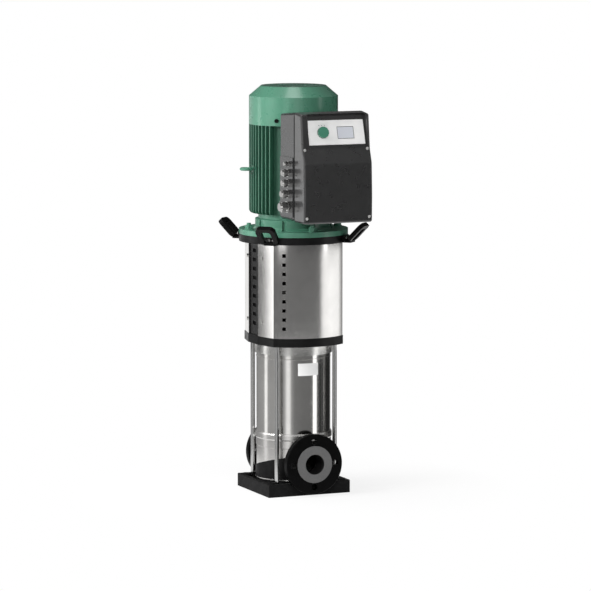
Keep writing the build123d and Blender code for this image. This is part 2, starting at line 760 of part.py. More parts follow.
# Lantern top ring: it carries the motor, and its rim takes the handles
with BuildPart() as lantern_top:
    disc(TOP_RING_R, LANTERN_TOP_LOW, LANTERN_TOP, bore=TOP_RING_BORE_R)
    disc(SPIGOT_R + FIT, LANTERN_TOP - SPIGOT_DEPTH, LANTERN_TOP, mode=Mode.SUBTRACT)
    with BuildSketch(Plane.XY.offset(LANTERN_TOP)):
        with PolarLocations(MOTOR_PCD / 2, 4):
            Circle(MOTOR_STUD_R + FIT)
    extrude(amount=MOTOR_STUD_LOW - LANTERN_TOP, mode=Mode.SUBTRACT)
    for angle in CORNER_ANGLES:
        with BuildSketch(radial_plane(angle, HANDLE_BOLT_Z, TOP_RING_R + 1)):
            with Locations((-HANDLE_BOLT_Y, 0), (HANDLE_BOLT_Y, 0)):
                Circle(HANDLE_BOLT_R + FIT)
        extrude(amount=-HANDLE_BOLT_GRIP - 2, mode=Mode.SUBTRACT)
finish(lantern_top, "lantern_top")

guard_low = LANTERN_BASE_TOP
guard_height = LANTERN_TOP_LOW - FACE_GAP - guard_low


def guard_shell(side, slot_angle):
    """A bowed guard sheet with one column of square slots, side -1 at the front."""
    with BuildPart() as guard:
        with BuildSketch(Plane.XY.offset(guard_low)):
            with BuildLine():
                add(guard_path(-GUARD_SHEET / 2).rotate(Axis.Z, 0 if side < 0 else 180))
            trace(line_width=GUARD_SHEET)
        extrude(amount=guard_height)
        with BuildSketch(radial_plane(slot_angle, 0, GUARD_FRONT - 40)):
            for step in range(SLOT_COUNT):
                with Locations((0, FRONT_SLOT_LOW + step * SLOT_PITCH)):
                    Rectangle(SLOT, SLOT)
        extrude(amount=80, mode=Mode.SUBTRACT)
        for plane in screw_planes():
            if plane.origin.Y * side > 0:
                with BuildSketch(plane.offset(GUARD_SHEET)):
                    Circle(GUARD_SCREW_R + FIT)
                extrude(amount=-3 * GUARD_SHEET, mode=Mode.SUBTRACT)
    return guard


finish(guard_shell(-1, FRONT_SLOT_ANGLE), "guard_front")
finish(guard_shell(1, FRONT_SLOT_ANGLE + 180), "guard_back")

# Side vent panels, one behind each gap between the guard wings
with BuildPart() as side_vent_panels:
    for side in (-1, 1):
        with BuildSketch(Plane.XY.offset(guard_low)):
            with Locations((side * (VENT_PANEL_X - GUARD_SHEET / 2), 0)):
                Rectangle(GUARD_SHEET, 2 * VENT_PANEL_HALF_Y)
        extrude(amount=guard_height)
    with BuildSketch(Plane.YZ):
        for step in range(SLOT_COUNT):
            with Locations((0, SIDE_SLOT_LOW + step * SLOT_PITCH)):
                Rectangle(SIDE_SLOT_WIDTH, SLOT)
    extrude(amount=2 * VENT_PANEL_X, both=True, mode=Mode.SUBTRACT)
finish(side_vent_panels, "side_vent_panels")

with BuildPart() as guard_screws:
    for plane in screw_planes():
        with BuildSketch(plane):
            Circle(GUARD_SCREW_HEAD_R)
        extrude(amount=GUARD_SCREW_HEAD)
        with BuildSketch(plane):
            Circle(GUARD_SCREW_R)
        extrude(amount=-GUARD_SCREW_DEPTH - 3)
finish(guard_screws, "guard_screws")


# Lifting handles: tilted loops with bolted pads, standing out from the top ring at its four corners
tilt = radians(HANDLE_TILT)
handle_open = HANDLE_LENGTH - HANDLE_RAIL - HANDLE_SILL
handle_gap = HANDLE_WIDTH - 2 * HANDLE_RAIL
web_reach = HANDLE_REACH + HANDLE_THICK / 2
with BuildPart() as lifting_handles:
    for angle in CORNER_ANGLES:
        away = Vector(sin(radians(angle)), -cos(radians(angle)), 0)
        rise = away * cos(tilt) + Vector(0, 0, sin(tilt))
        normal = away * -sin(tilt) + Vector(0, 0, cos(tilt))
        foot = away * (TOP_RING_R + HANDLE_REACH) + Vector(0, 0, PAD_LOW + HANDLE_RISE)
        with BuildSketch(Plane(origin=foot, x_dir=rise, z_dir=normal)):
            with Locations((HANDLE_LENGTH / 2, 0)):
                RectangleRounded(HANDLE_LENGTH, HANDLE_WIDTH, HANDLE_CORNER)
            with Locations((HANDLE_SILL + handle_open / 2, 0)):
                RectangleRounded(handle_open, handle_gap, HANDLE_INNER_CORNER, mode=Mode.SUBTRACT)
        extrude(amount=HANDLE_THICK / 2, both=True)
        with BuildSketch(Plane(origin=foot, x_dir=rise, z_dir=normal)):
            Rectangle(2 * (HANDLE_SILL + HANDLE_INNER_CORNER), handle_gap)
        extrude(amount=HANDLE_THICK / 2, mode=Mode.SUBTRACT)
        with BuildSketch(radial_plane(angle, (PAD_LOW + PAD_TOP) / 2, TOP_RING_R)):
            Rectangle(PAD_WIDTH, PAD_TOP - PAD_LOW)
        extrude(amount=PAD_THICK)
        with BuildSketch(radial_plane(angle, (PAD_LOW + WEB_TOP) / 2, TOP_RING_R + PAD_THICK / 2)):
            Rectangle(PAD_WIDTH, WEB_TOP - PAD_LOW)
        extrude(amount=web_reach - PAD_THICK / 2)
        with BuildSketch(radial_plane(angle, HANDLE_BOLT_Z, TOP_RING_R)):
            with Locations((-HANDLE_BOLT_Y, 0), (HANDLE_BOLT_Y, 0)):
                Circle(HANDLE_BOLT_R + FIT)
        extrude(amount=PAD_THICK, mode=Mode.SUBTRACT)
finish(lifting_handles, "lifting_handles")

with BuildPart() as handle_bolts:
    for angle in CORNER_ANGLES:
        with BuildSketch(radial_plane(angle, HANDLE_BOLT_Z, TOP_RING_R + PAD_THICK)):
            with Locations((-HANDLE_BOLT_Y, 0), (HANDLE_BOLT_Y, 0)):
                hexagon(HANDLE_BOLT_AF)
        extrude(amount=HANDLE_BOLT_HEAD)
        with BuildSketch(radial_plane(angle, HANDLE_BOLT_Z, TOP_RING_R + PAD_THICK)):
            with Locations((-HANDLE_BOLT_Y, 0), (HANDLE_BOLT_Y, 0)):
                Circle(HANDLE_BOLT_R)
        extrude(amount=-PAD_THICK - HANDLE_BOLT_GRIP)
finish(handle_bolts, "handle_bolts")

# Drive-end shield: motor flange, neck, bearing housing and the spigot into the frame
de_bearing_top = DE_BEARING_LOW + DE_BEARING_WIDTH
de_housing_r = DE_BEARING_R + BEARING_HOUSING_WALL
frame_seat = FRAME_LOW + FRAME_STEP
with BuildPart() as drive_end_shield:
    disc(TOP_RING_R, LANTERN_TOP, MOTOR_FLANGE_TOP)
    disc(SPIGOT_R, LANTERN_TOP - SPIGOT_DEPTH + FACE_GAP, LANTERN_TOP)
    turned([
        (0, MOTOR_FLANGE_TOP),
        (NECK_R + 5, MOTOR_FLANGE_TOP),
        (NECK_R, MOTOR_FLANGE_TOP + 6),
        (NECK_R, NECK_TOP - 3),
        (FRAME_SPIGOT_R, NECK_TOP),
        (FRAME_SPIGOT_R, frame_seat),
        (0, frame_seat),
    ])
    turned([
        (de_housing_r, MOTOR_FLANGE_TOP),
        (NECK_R - NECK_WALL, MOTOR_FLANGE_TOP),
        (NECK_R - NECK_WALL, NECK_TOP - 10),
        (FRAME_SPIGOT_R - NECK_WALL, NECK_TOP - 4),
        (FRAME_SPIGOT_R - NECK_WALL, frame_seat + 1),
        (0, frame_seat + 1),
        (0, de_bearing_top + 4),
        (de_housing_r, de_bearing_top + 4),
    ], mode=Mode.SUBTRACT)
    for step in range(NECK_GROOVES):
        angle = NECK_GROOVE_FIRST + step * 360 / NECK_GROOVES
        with BuildSketch(radial_plane(angle, (MOTOR_FLANGE_TOP + NECK_TOP) / 2, NECK_R - NECK_GROOVE_DEPTH)):
            Rectangle(NECK_GROOVE_WIDTH, NECK_TOP - MOTOR_FLANGE_TOP)
        extrude(amount=2 * NECK_GROOVE_DEPTH + NECK_WALL, mode=Mode.SUBTRACT)
    disc(DE_BEARING_R + FIT / 4, LANTERN_TOP - SPIGOT_DEPTH, de_bearing_top, mode=Mode.SUBTRACT)
    disc(BEARING_INNER_R + 6, de_bearing_top, de_bearing_top + 5, mode=Mode.SUBTRACT)
    with BuildSketch(Plane.XY.offset(LANTERN_TOP)):
        with PolarLocations(MOTOR_PCD / 2, 4):
            Circle(MOTOR_BOLT_HOLE_R)
    extrude(amount=MOTOR_FLANGE_TOP - LANTERN_TOP, mode=Mode.SUBTRACT)
finish(drive_end_shield, "drive_end_shield")

with BuildPart() as motor_flange_bolts:
    with BuildSketch(Plane.XY.offset(MOTOR_STUD_LOW)):
        with PolarLocations(MOTOR_PCD / 2, 4):
            Circle(MOTOR_STUD_R)
    extrude(amount=MOTOR_STUD_TOP - MOTOR_STUD_LOW)
    with BuildSketch(Plane.XY.offset(MOTOR_FLANGE_TOP)):
        with PolarLocations(MOTOR_PCD / 2, 4):
            Circle(MOTOR_NUT_AF / 2 + 2)
    extrude(amount=2.5)
    with BuildSketch(Plane.XY.offset(MOTOR_FLANGE_TOP + 2.5)):
        with PolarLocations(MOTOR_PCD / 2, 4):
            hexagon(MOTOR_NUT_AF)
    extrude(amount=10)
finish(motor_flange_bolts, "motor_flange_bolts")

# Motor frame: a tube with upright fins and the pedestal for the drive
with BuildPart() as motor_frame:
    disc(FRAME_R, FRAME_LOW, FRAME_TOP)
    fin_pitch = (360 - 2 * FIN_FIRST) / (FIN_COUNT - 1)
    for step in range(FIN_COUNT):
        angle = radians(FIN_FIRST + step * fin_pitch)
        away = (sin(angle), -cos(angle), 0)
        with BuildSketch(Plane(origin=(0, 0, 0), x_dir=away, z_dir=(away[1], -away[0], 0))) as fin:
            with Locations(((FIN_R + FIN_ROOT_R) / 2, (FRAME_LOW + FRAME_TOP) / 2)):
                Rectangle(FIN_R - FIN_ROOT_R, FRAME_TOP - FRAME_LOW)
            fillet(fin.vertices().group_by(Axis.Y)[0].sort_by(Axis.X)[-1], radius=FIN_ROUND)
        extrude(amount=FIN_THICK / 2, both=True)
    with BuildSketch(radial_plane(-90, EYE_Z, FIN_ROOT_R)):
        Circle(EYE_BOSS_R)
    extrude(amount=FIN_R - 1 - FIN_ROOT_R)
    with BuildSketch(Plane.XY.offset(PEDESTAL_LOW)):
        with Locations((0, -(PEDESTAL_FRONT + PEDESTAL_BACK) / 2)):
            Rectangle(2 * PEDESTAL_X, PEDESTAL_FRONT - PEDESTAL_BACK)
    extrude(amount=PEDESTAL_TOP - PEDESTAL_LOW)
    with BuildSketch(Plane.XY.offset(PEDESTAL_LOW + PEDESTAL_WALL)):
        with Locations((0, -(PEDESTAL_FRONT + FRAME_R + PEDESTAL_CLEAR) / 2)):
            Rectangle(2 * (PEDESTAL_X - PEDESTAL_WALL), PEDESTAL_FRONT - FRAME_R - PEDESTAL_CLEAR)
    extrude(amount=PEDESTAL_TOP - PEDESTAL_LOW - 2 * PEDESTAL_WALL, mode=Mode.SUBTRACT)
    disc(STATOR_R + FIT, FRAME_LOW, FRAME_TOP, mode=Mode.SUBTRACT)
    disc(FRAME_SPIGOT_R + FIT, FRAME_LOW, frame_seat, mode=Mode.SUBTRACT)
    with BuildSketch(radial_plane(-90, EYE_Z, FRAME_R - 6)):
        Circle(EYE_SHANK_R + FIT)
    extrude(amount=30, mode=Mode.SUBTRACT)
finish(motor_frame, "motor_frame")

# Stator: laminated core, and the end windings standing on its two faces
with BuildPart() as stator_core:
    disc(STATOR_R, STATOR_LOW, STATOR_TOP, bore=ROTOR_R + RUNNING)
finish(stator_core, "stator_core")

with BuildPart() as stator_windings:
    for low in (STATOR_LOW - WINDING_HEIGHT, STATOR_TOP):
        disc(WINDING_R, low, low + WINDING_HEIGHT, bore=ROTOR_R + 4)
finish(stator_windings, "stator_windings")

# Motor shaft, rotor core and bearings
nde_bearing_top = NDE_BEARING_LOW + NDE_BEARING_WIDTH
with BuildPart() as motor_shaft:
    turned([
        (0, MOTOR_SHAFT_LOW),
        (MOTOR_SHAFT_R - 1, MOTOR_SHAFT_LOW),
        (MOTOR_SHAFT_R, MOTOR_SHAFT_LOW + 1),
        (MOTOR_SHAFT_R, DE_BEARING_LOW - 10),
        (BEARING_BORE_R, DE_BEARING_LOW - 10),
        (BEARING_BORE_R, de_bearing_top),
        (ROTOR_SHAFT_R, de_bearing_top),
        (ROTOR_SHAFT_R, NDE_BEARING_LOW),
        (BEARING_BORE_R, NDE_BEARING_LOW),
        (BEARING_BORE_R, nde_bearing_top + 2),
        (FAN_SHAFT_R, nde_bearing_top + 2),
        (FAN_SHAFT_R, FAN_SHAFT_TOP),
        (0, FAN_SHAFT_TOP),
    ])
finish(motor_shaft, "motor_shaft")

with BuildPart() as rotor_core:
    disc(ROTOR_R, STATOR_LOW, STATOR_TOP, bore=ROTOR_SHAFT_R + SLIDING)
finish(rotor_core, "rotor_core")

bearing_places = (
    (DE_BEARING_LOW, DE_BEARING_WIDTH, DE_BEARING_R),
    (NDE_BEARING_LOW, NDE_BEARING_WIDTH, NDE_BEARING_R),
)
with BuildPart() as motor_bearing_inner_rings:
    for low, width, _ in bearing_places:
        disc(BEARING_INNER_R, low, low + width, bore=BEARING_BORE_R + FIT / 4)
finish(motor_bearing_inner_rings, "motor_bearing_inner_rings")

with BuildPart() as motor_bearing_outer_rings:
    for low, width, outer in bearing_places:
        disc(outer, low, low + width, bore=BEARING_INNER_R + SLIDING)
finish(motor_bearing_outer_rings, "motor_bearing_outer_rings")

# Rear end shield: plate on the frame, bearing housing and four lugs for the cowl
nde_housing_r = NDE_BEARING_R + BEARING_HOUSING_WALL
rear_plate_top = FRAME_TOP + REAR_PLATE_THICK
cowl_bore = FIN_R - COWL_WALL
with BuildPart() as rear_end_shield:
    disc(cowl_bore - FACE_GAP, FRAME_TOP, rear_plate_top)
    disc(STATOR_R, FRAME_TOP - 6, FRAME_TOP, bore=STATOR_R - 8)
    disc(nde_housing_r, NDE_BEARING_LOW, rear_plate_top)
    for angle in CORNER_ANGLES:
        with BuildSketch(radial_plane(angle, 0, cowl_bore - REAR_LUG_DEPTH)):
            with Locations((0, (FRAME_TOP + REAR_LUG_TOP) / 2)):
                Rectangle(REAR_LUG_WIDTH, REAR_LUG_TOP - FRAME_TOP)
        extrude(amount=REAR_LUG_DEPTH)
    disc(FIN_R + 20, FRAME_TOP, REAR_LUG_TOP, bore=cowl_bore - FACE_GAP, mode=Mode.SUBTRACT)
    disc(NDE_BEARING_R + FIT / 4, NDE_BEARING_LOW, rear_plate_top, mode=Mode.SUBTRACT)
    for angle in CORNER_ANGLES:
        with BuildSketch(radial_plane(angle, COWL_SCREW_Z, cowl_bore + 5)):
            Circle(COWL_SCREW_R + FIT)
        extrude(amount=-12, mode=Mode.SUBTRACT)
finish(rear_end_shield, "rear_end_shield")

# Fan on the upper shaft end
with BuildPart() as fan:
    disc(FAN_HUB_R, FAN_LOW, FAN_TOP)
    disc(FAN_R * 0.62, FAN_LOW, FAN_LOW + 3)
    with BuildSketch(Plane.XY.offset(FAN_LOW)):
        with PolarLocations((FAN_R + FAN_HUB_R) / 2 - 1, FAN_BLADES):
            Rectangle(FAN_R - FAN_HUB_R + 2, FAN_BLADE_THICK)
    extrude(amount=FAN_TOP - FAN_LOW - 4)
    disc(FAN_SHAFT_R + SLIDING, FAN_LOW, FAN_TOP, mode=Mode.SUBTRACT)
finish(fan, "fan")

# Fan cowl: a drawn cap with a ring of air slots in its flat top
with BuildPart() as fan_cowl:
    turned([
        (0, FRAME_TOP),
        (FIN_R, FRAME_TOP),
        (FIN_R, COWL_SHOULDER),
        (COWL_TOP_R, COWL_TOP),
        (0, COWL_TOP),
    ])
    slope = (FIN_R - COWL_TOP_R) / (COWL_TOP - COWL_SHOULDER)
    turned([
        (0, FRAME_TOP),
        (cowl_bore, FRAME_TOP),
        (cowl_bore, COWL_SHOULDER - 0.5),
        (cowl_bore - slope * (COWL_TOP - COWL_WALL - COWL_SHOULDER + 0.5), COWL_TOP - COWL_WALL),
        (0, COWL_TOP - COWL_WALL),
    ], mode=Mode.SUBTRACT)
    with BuildSketch(Plane.XY.offset(COWL_TOP)):
        for inner, outer in ((GRILLE_INNER, GRILLE_MID - GRILLE_BRIDGE / 2),
                             (GRILLE_MID + GRILLE_BRIDGE / 2, GRILLE_OUTER)):
            with PolarLocations((inner + outer) / 2, GRILLE_SLOTS):
                Rectangle(outer - inner, GRILLE_SLOT_WIDTH)
    extrude(amount=-3 * COWL_WALL, mode=Mode.SUBTRACT)
    for angle in CORNER_ANGLES:
        with BuildSketch(radial_plane(angle, COWL_SCREW_Z, FIN_R + 5)):
            Circle(COWL_SCREW_R + FIT)
        extrude(amount=-12, mode=Mode.SUBTRACT)
finish(fan_cowl, "fan_cowl")

with BuildPart() as cowl_screws:
    for angle in CORNER_ANGLES:
        with BuildSketch(radial_plane(angle, COWL_SCREW_Z, FIN_R)):
            Circle(COWL_SCREW_HEAD_R)
        extrude(amount=COWL_SCREW_HEAD)
        with BuildSketch(radial_plane(angle, COWL_SCREW_Z, FIN_R)):
            Circle(COWL_SCREW_R)
        extrude(amount=-8)
finish(cowl_screws, "cowl_screws")

# Eye bolt on the left flank of the frame, its ring lying level
with BuildPart() as eye_bolt:
    with BuildSketch(Plane(origin=(-EYE_CENTRE_R, 0, EYE_Z), x_dir=(1, 0, 0), z_dir=(0, -1, 0))):
        with Locations((EYE_RING_R - EYE_BAR_R, 0)):
            Circle(EYE_BAR_R)
    revolve(axis=Axis((-EYE_CENTRE_R, 0, EYE_Z), (0, 0, 1)))
    with BuildSketch(radial_plane(-90, EYE_Z, FRAME_R - 5)):
        Circle(EYE_SHANK_R)
    extrude(amount=EYE_CENTRE_R - EYE_RING_R - FRAME_R + 5 + EYE_BAR_R)
finish(eye_bolt, "eye_bolt")

# Drive body: an open-fronted box on the pedestal, with the gland plate on its left flank
drive_height = DRIVE_TOP - DRIVE_LOW
drive_mid = (DRIVE_TOP + DRIVE_LOW) / 2
cover_side = Plane(origin=(0, 0, 0), x_dir=(0, -1, 0), z_dir=(-1, 0, 0))
cover_screw_x = DRIVE_X - COVER_SCREW_INSET
board_half_x = DRIVE_X - BOARD_INSET
board_post_x = board_half_x - BOARD_POST_INSET
screw_places = [(side * cover_screw_x, height) for side in (-1, 1) for height in COVER_SCREW_Z]
board_posts = [
    (side * board_post_x, height)
    for side in (-1, 1)
    for height in (BOARD_LOW + BOARD_POST_RISE, BOARD_TOP - BOARD_POST_RISE)
]
with BuildPart() as drive_body:
    with BuildSketch(cover_side):
        with BuildLine():
            Polyline(
                (PEDESTAL_FRONT, DRIVE_LOW),
                (BODY_FRONT, DRIVE_LOW),
                (BODY_FRONT, DRIVE_TOP),
                (PEDESTAL_FRONT, DRIVE_TOP - BODY_REAR_DROP),
                close=True,
            )
        make_face()
    extrude(amount=DRIVE_X, both=True)
    long_edges = [edge for edge in drive_body.edges() if abs(edge.tangent_at(0).Y) > 0.9]
    fillet(long_edges, radius=BODY_CORNER)
    with BuildSketch(cover_side):
        with BuildLine():
            Polyline(
                (PEDESTAL_FRONT + BODY_WALL, DRIVE_LOW + BODY_WALL),
                (BODY_FRONT, DRIVE_LOW + BODY_WALL),
                (BODY_FRONT, DRIVE_TOP - BODY_REAR_DROP - BODY_WALL),
                (PEDESTAL_FRONT + BODY_WALL, DRIVE_TOP - BODY_REAR_DROP - BODY_WALL),
                close=True,
            )
        make_face()
    extrude(amount=DRIVE_X - BODY_WALL, both=True, mode=Mode.SUBTRACT)
    with BuildSketch(ahead(BODY_FRONT)):
        with Locations(*screw_places):
            Circle(PILLAR_R)
    extrude(amount=-SCREW_GRIP - 6)
    with BuildSketch(ahead(PEDESTAL_FRONT + BODY_WALL)):
        with Locations(*board_posts):
            Circle(BOARD_POST_R)
    extrude(amount=BOARD_BACK - PEDESTAL_FRONT - BODY_WALL)
    plate_depth = GLAND_PLATE_FRONT - PEDESTAL_FRONT - 2
    with BuildSketch(Plane(origin=(-DRIVE_X, 0, 0), x_dir=(0, -1, 0), z_dir=(-1, 0, 0))):
        with Locations((GLAND_PLATE_FRONT - plate_depth / 2, (GLAND_PLATE_LOW + GLAND_PLATE_TOP) / 2)):
            Rectangle(plate_depth, GLAND_PLATE_TOP - GLAND_PLATE_LOW)
    extrude(amount=GLAND_PLATE)
    with BuildSketch(ahead(BODY_FRONT)):
        with Locations(*screw_places):
            Circle(COVER_SCREW_R + FIT)
    extrude(amount=-SCREW_GRIP, mode=Mode.SUBTRACT)
    for height, radius, _ in GLANDS:
        with BuildSketch(Plane(origin=(-DRIVE_X, -GLAND_Y, height), x_dir=(0, -1, 0), z_dir=(-1, 0, 0))):
            Circle(radius * 0.72 + FIT)
        extrude(amount=BODY_WALL + 6, both=True, mode=Mode.SUBTRACT)
finish(drive_body, "drive_body")

# Cable glands: nut, clamping cap and a bore, one on each hole of the gland plate
with BuildPart() as cable_glands:
    for height, radius, length in GLANDS:
        seat_x = DRIVE_X + GLAND_PLATE
        gland_plane = Plane(origin=(-seat_x, -GLAND_Y, height), x_dir=(0, -1, 0), z_dir=(-1, 0, 0))
        with BuildSketch(gland_plane):
            Circle(radius * 0.72)
        extrude(amount=-GLAND_PLATE - BODY_WALL - 3)
        with BuildSketch(gland_plane):
            hexagon(radius * 1.9)
        extrude(amount=length * 0.3)
        with BuildSketch(gland_plane.offset(length * 0.3)):
            Circle(radius * 0.82)
        extrude(amount=length * 0.2)
        with BuildSketch(gland_plane.offset(length * 0.5)):
            hexagon(radius * 1.8)
        extrude(amount=length * 0.35)
        with BuildSketch(gland_plane.offset(length * 0.85)):
            Circle(radius * 0.86)
        extrude(amount=length * 0.15, taper=30)
finish(cable_glands, "cable_glands")

# Gasket in the joint between drive body and cover
with BuildPart() as cover_gasket:
    with BuildSketch(ahead(BODY_FRONT, drive_mid)):
        gasket_x = 2 * (DRIVE_X - GASKET_INSET)
        gasket_z = drive_height - 2 * GASKET_INSET
        RectangleRounded(gasket_x, gasket_z, BODY_CORNER)
        Rectangle(gasket_x - 2 * GASKET_WIDTH, gasket_z - 2 * GASKET_WIDTH, mode=Mode.SUBTRACT)
    extrude(amount=COVER_BACK - BODY_FRONT)
    with BuildSketch(ahead(BODY_FRONT)):
        with Locations(*screw_places):
            Circle(COVER_SCREW_R + FIT)
    extrude(amount=COVER_BACK - BODY_FRONT, mode=Mode.SUBTRACT)
finish(cover_gasket, "cover_gasket")


display_tilt = radians(DISPLAY_TILT)
display_plane = Plane(
    origin=(0, -DISPLAY_FOOT_Y, DISPLAY_FOOT_Z),
    x_dir=(1, 0, 0),
    z_dir=(0, -cos(display_tilt), sin(display_tilt)),
)
knob_spot = (KNOB_X, KNOB_UP)

pocket_wall = DISPLAY_THICK + COVER_WALL
pocket_low = DISPLAY_LOW - POCKET_SILL
pocket_top = DISPLAY_LOW + DISPLAY_HEIGHT + POCKET_HEADROOM
cavity_step = DISPLAY_FOOT_Z - COVER_SHELL
cavity_top = DRIVE_TOP - COVER_SHELL - 1


def pocket_back(height):
    """Distance ahead of the axis of the rear face of the pocket wall at a height."""
    plane_y = DISPLAY_FOOT_Y - (height - DISPLAY_FOOT_Z) * tan(display_tilt)
    return plane_y - pocket_wall / cos(display_tilt)


def cover_front(height):
    """Distance ahead of the axis of the cover's front at a height."""
    for (near, low), (far, high) in zip(COVER_FRONT, COVER_FRONT[1:]):
        if low <= height <= high:
            return near + (far - near) * (height - low) / (high - low)
    raise ValueError("height outside the cover's front")


screw_seats = {height: cover_front(height) - COVER_SCREW_SINK for height in COVER_SCREW_Z}

# Drive cover: a hood with a bowed front, a leaning display pocket and four screw pillars
with BuildPart() as drive_cover:
    with BuildSketch(cover_side) as cover_outline:
        with BuildLine():
            Polyline((COVER_BACK, COVER_LOW), *COVER_FRONT, (COVER_BACK, DRIVE_TOP), close=True)
        make_face()
        bends = cover_outline.vertices().filter_by_position(Axis.Y, 830, 970).filter_by_position(Axis.X, 250, 310)
        fillet(bends, radius=COVER_BEND)
    extrude(amount=DRIVE_X, both=True)
    rear_edges = drive_cover.faces().sort_by(Axis.Y)[-1].edges()
    kinks = drive_cover.edges().filter_by(Axis.X).filter_by_position(Axis.Z, 770, 1050)
    rounded = [edge for edge in drive_cover.edges() if edge not in rear_edges and edge not in kinks]
    fillet(rounded, radius=COVER_EDGE)
    with BuildSketch(cover_side):
        with BuildLine():
            Polyline(
                (COVER_BACK, COVER_LOW + COVER_WALL),
                (COVER_FRONT[0][0] - COVER_SHELL, COVER_LOW + COVER_WALL),
                (COVER_FRONT[1][0] - COVER_SHELL, COVER_FRONT[1][1]),
                (COVER_FRONT[2][0] - COVER_SHELL, COVER_FRONT[2][1] - COVER_SHELL / 2),
                (pocket_back(cavity_step), cavity_step),
                (pocket_back(cavity_top), cavity_top),
                (COVER_BACK, cavity_top),
                close=True,
            )
        make_face()
    extrude(amount=DRIVE_X - COVER_WALL - 1, both=True, mode=Mode.SUBTRACT)
    with BuildSketch(display_plane.offset(-DISPLAY_THICK)):
        with Locations((DISPLAY_X, (pocket_low + pocket_top) / 2)):
            Rectangle(DISPLAY_WIDTH + 2 * POCKET_MARGIN, pocket_top - pocket_low)
    extrude(amount=60, mode=Mode.SUBTRACT)
    with BuildSketch(display_plane):
        with Locations(knob_spot):
            Circle(PLUNGER_HOLE_R)
    extrude(amount=-pocket_wall - 4, mode=Mode.SUBTRACT)
    for side in (-1, 1):
        for height, head_seat in screw_seats.items():
            with BuildSketch(ahead(COVER_BACK, height)):
                with Locations((side * cover_screw_x, 0)):
                    Circle(PILLAR_R)
            extrude(amount=head_seat - COVER_BACK)
            with BuildSketch(ahead(COVER_BACK, height)):
                with Locations((side * cover_screw_x, 0)):
                    Circle(COVER_SCREW_R + FIT)
            extrude(amount=head_seat - COVER_BACK, mode=Mode.SUBTRACT)
            with BuildSketch(ahead(head_seat, height)):
                with Locations((side * cover_screw_x, 0)):
                    Circle(COVER_SCREW_HEAD_R + 2 * FIT)
            extrude(amount=20, mode=Mode.SUBTRACT)
finish(drive_cover, "drive_cover")

with BuildPart() as cover_screws:
    for side in (-1, 1):
        for height, head_seat in screw_seats.items():
            with BuildSketch(ahead(head_seat, height)):
                with Locations((side * cover_screw_x, 0)):
                    Circle(COVER_SCREW_HEAD_R)
            extrude(amount=COVER_SCREW_HEAD)
            with BuildSketch(ahead(head_seat, height)):
                with Locations((side * cover_screw_x, 0)):
                    Circle(COVER_SCREW_R)
            extrude(amount=BODY_FRONT - SCREW_GRIP + 2 - head_seat)
finish(cover_screws, "cover_screws")

# Power board on the posts of the drive body
with BuildPart() as power_board:
    with BuildSketch(ahead(BOARD_BACK, (BOARD_LOW + BOARD_TOP) / 2)):
        Rectangle(2 * board_half_x, BOARD_TOP - BOARD_LOW)
    extrude(amount=BOARD_THICK)
    with BuildSketch(ahead(BOARD_BACK + BOARD_THICK)):
        for step in (-1, 0, 1):
            with Locations((step * CAPACITOR_PITCH, CAPACITOR_Z)):
                Circle(CAPACITOR_R)
    extrude(amount=CAPACITOR_HEIGHT)
    with BuildSketch(ahead(BOARD_BACK + BOARD_THICK)):
        with Locations((0, COIL_Z)):
            Rectangle(COIL_WIDTH, COIL_LENGTH)
    extrude(amount=COIL_HEIGHT)
finish(power_board, "power_board")

# Display panel and its window, both on the floor of the pocket
panel_up = DISPLAY_LOW + DISPLAY_HEIGHT / 2
with BuildPart() as display_panel:
    with BuildSketch(display_plane.offset(-DISPLAY_THICK)):
        with Locations((DISPLAY_X, panel_up)):
            RectangleRounded(DISPLAY_WIDTH, DISPLAY_HEIGHT, 2)
        with Locations((WINDOW_X, WINDOW_UP)):
            Rectangle(WINDOW_WIDTH, WINDOW_HEIGHT, mode=Mode.SUBTRACT)
        with Locations(knob_spot):
            Circle(PLUNGER_HOLE_R, mode=Mode.SUBTRACT)
    extrude(amount=DISPLAY_THICK)
finish(display_panel, "display_panel")

with BuildPart() as display_window:
    with BuildSketch(display_plane.offset(-DISPLAY_THICK)):
        with Locations((WINDOW_X, WINDOW_UP)):
            Rectangle(WINDOW_WIDTH - 2 * FIT, WINDOW_HEIGHT - 2 * FIT)
    extrude(amount=DISPLAY_THICK - 0.6)
finish(display_window, "display_window")

# Encoder behind the pocket, its plunger and the knob that turns on the plunger
with BuildPart() as encoder_body:
    with BuildSketch(display_plane.offset(-pocket_wall)):
        with Locations(knob_spot):
            Rectangle(ENCODER_SIZE, ENCODER_SIZE)
            Circle(PLUNGER_R + SLIDING, mode=Mode.SUBTRACT)
    extrude(amount=-ENCODER_DEPTH)
finish(encoder_body, "encoder_body")

with BuildPart() as encoder_plunger:
    with BuildSketch(display_plane.offset(-PLUNGER_DEPTH)):
        with Locations(knob_spot):
            Circle(PLUNGER_R)
    extrude(amount=PLUNGER_DEPTH + KNOB_GAP + PLUNGER_IN_KNOB)
finish(encoder_plunger, "encoder_plunger")

with BuildPart() as control_knob:
    with BuildSketch(display_plane.offset(KNOB_GAP)):
        with Locations(knob_spot):
            Circle(KNOB_R)
            with PolarLocations(KNOB_R + FLUTE_R * 0.55, KNOB_FLUTES):
                Circle(FLUTE_R, mode=Mode.SUBTRACT)
    extrude(amount=KNOB_THICK)
    with BuildSketch(display_plane.offset(KNOB_GAP)):
        with Locations(knob_spot):
            Circle(PLUNGER_R + SLIDING)
    extrude(amount=PLUNGER_IN_KNOB + FACE_GAP, mode=Mode.SUBTRACT)
finish(control_knob, "control_knob")
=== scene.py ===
"""Looks of the vertical multistage pump: materials, small dressing, studio and camera.

Lengths are in metres, apart from those of new pieces, which are in millimetres.
"""

import json
from math import cos, radians, sin

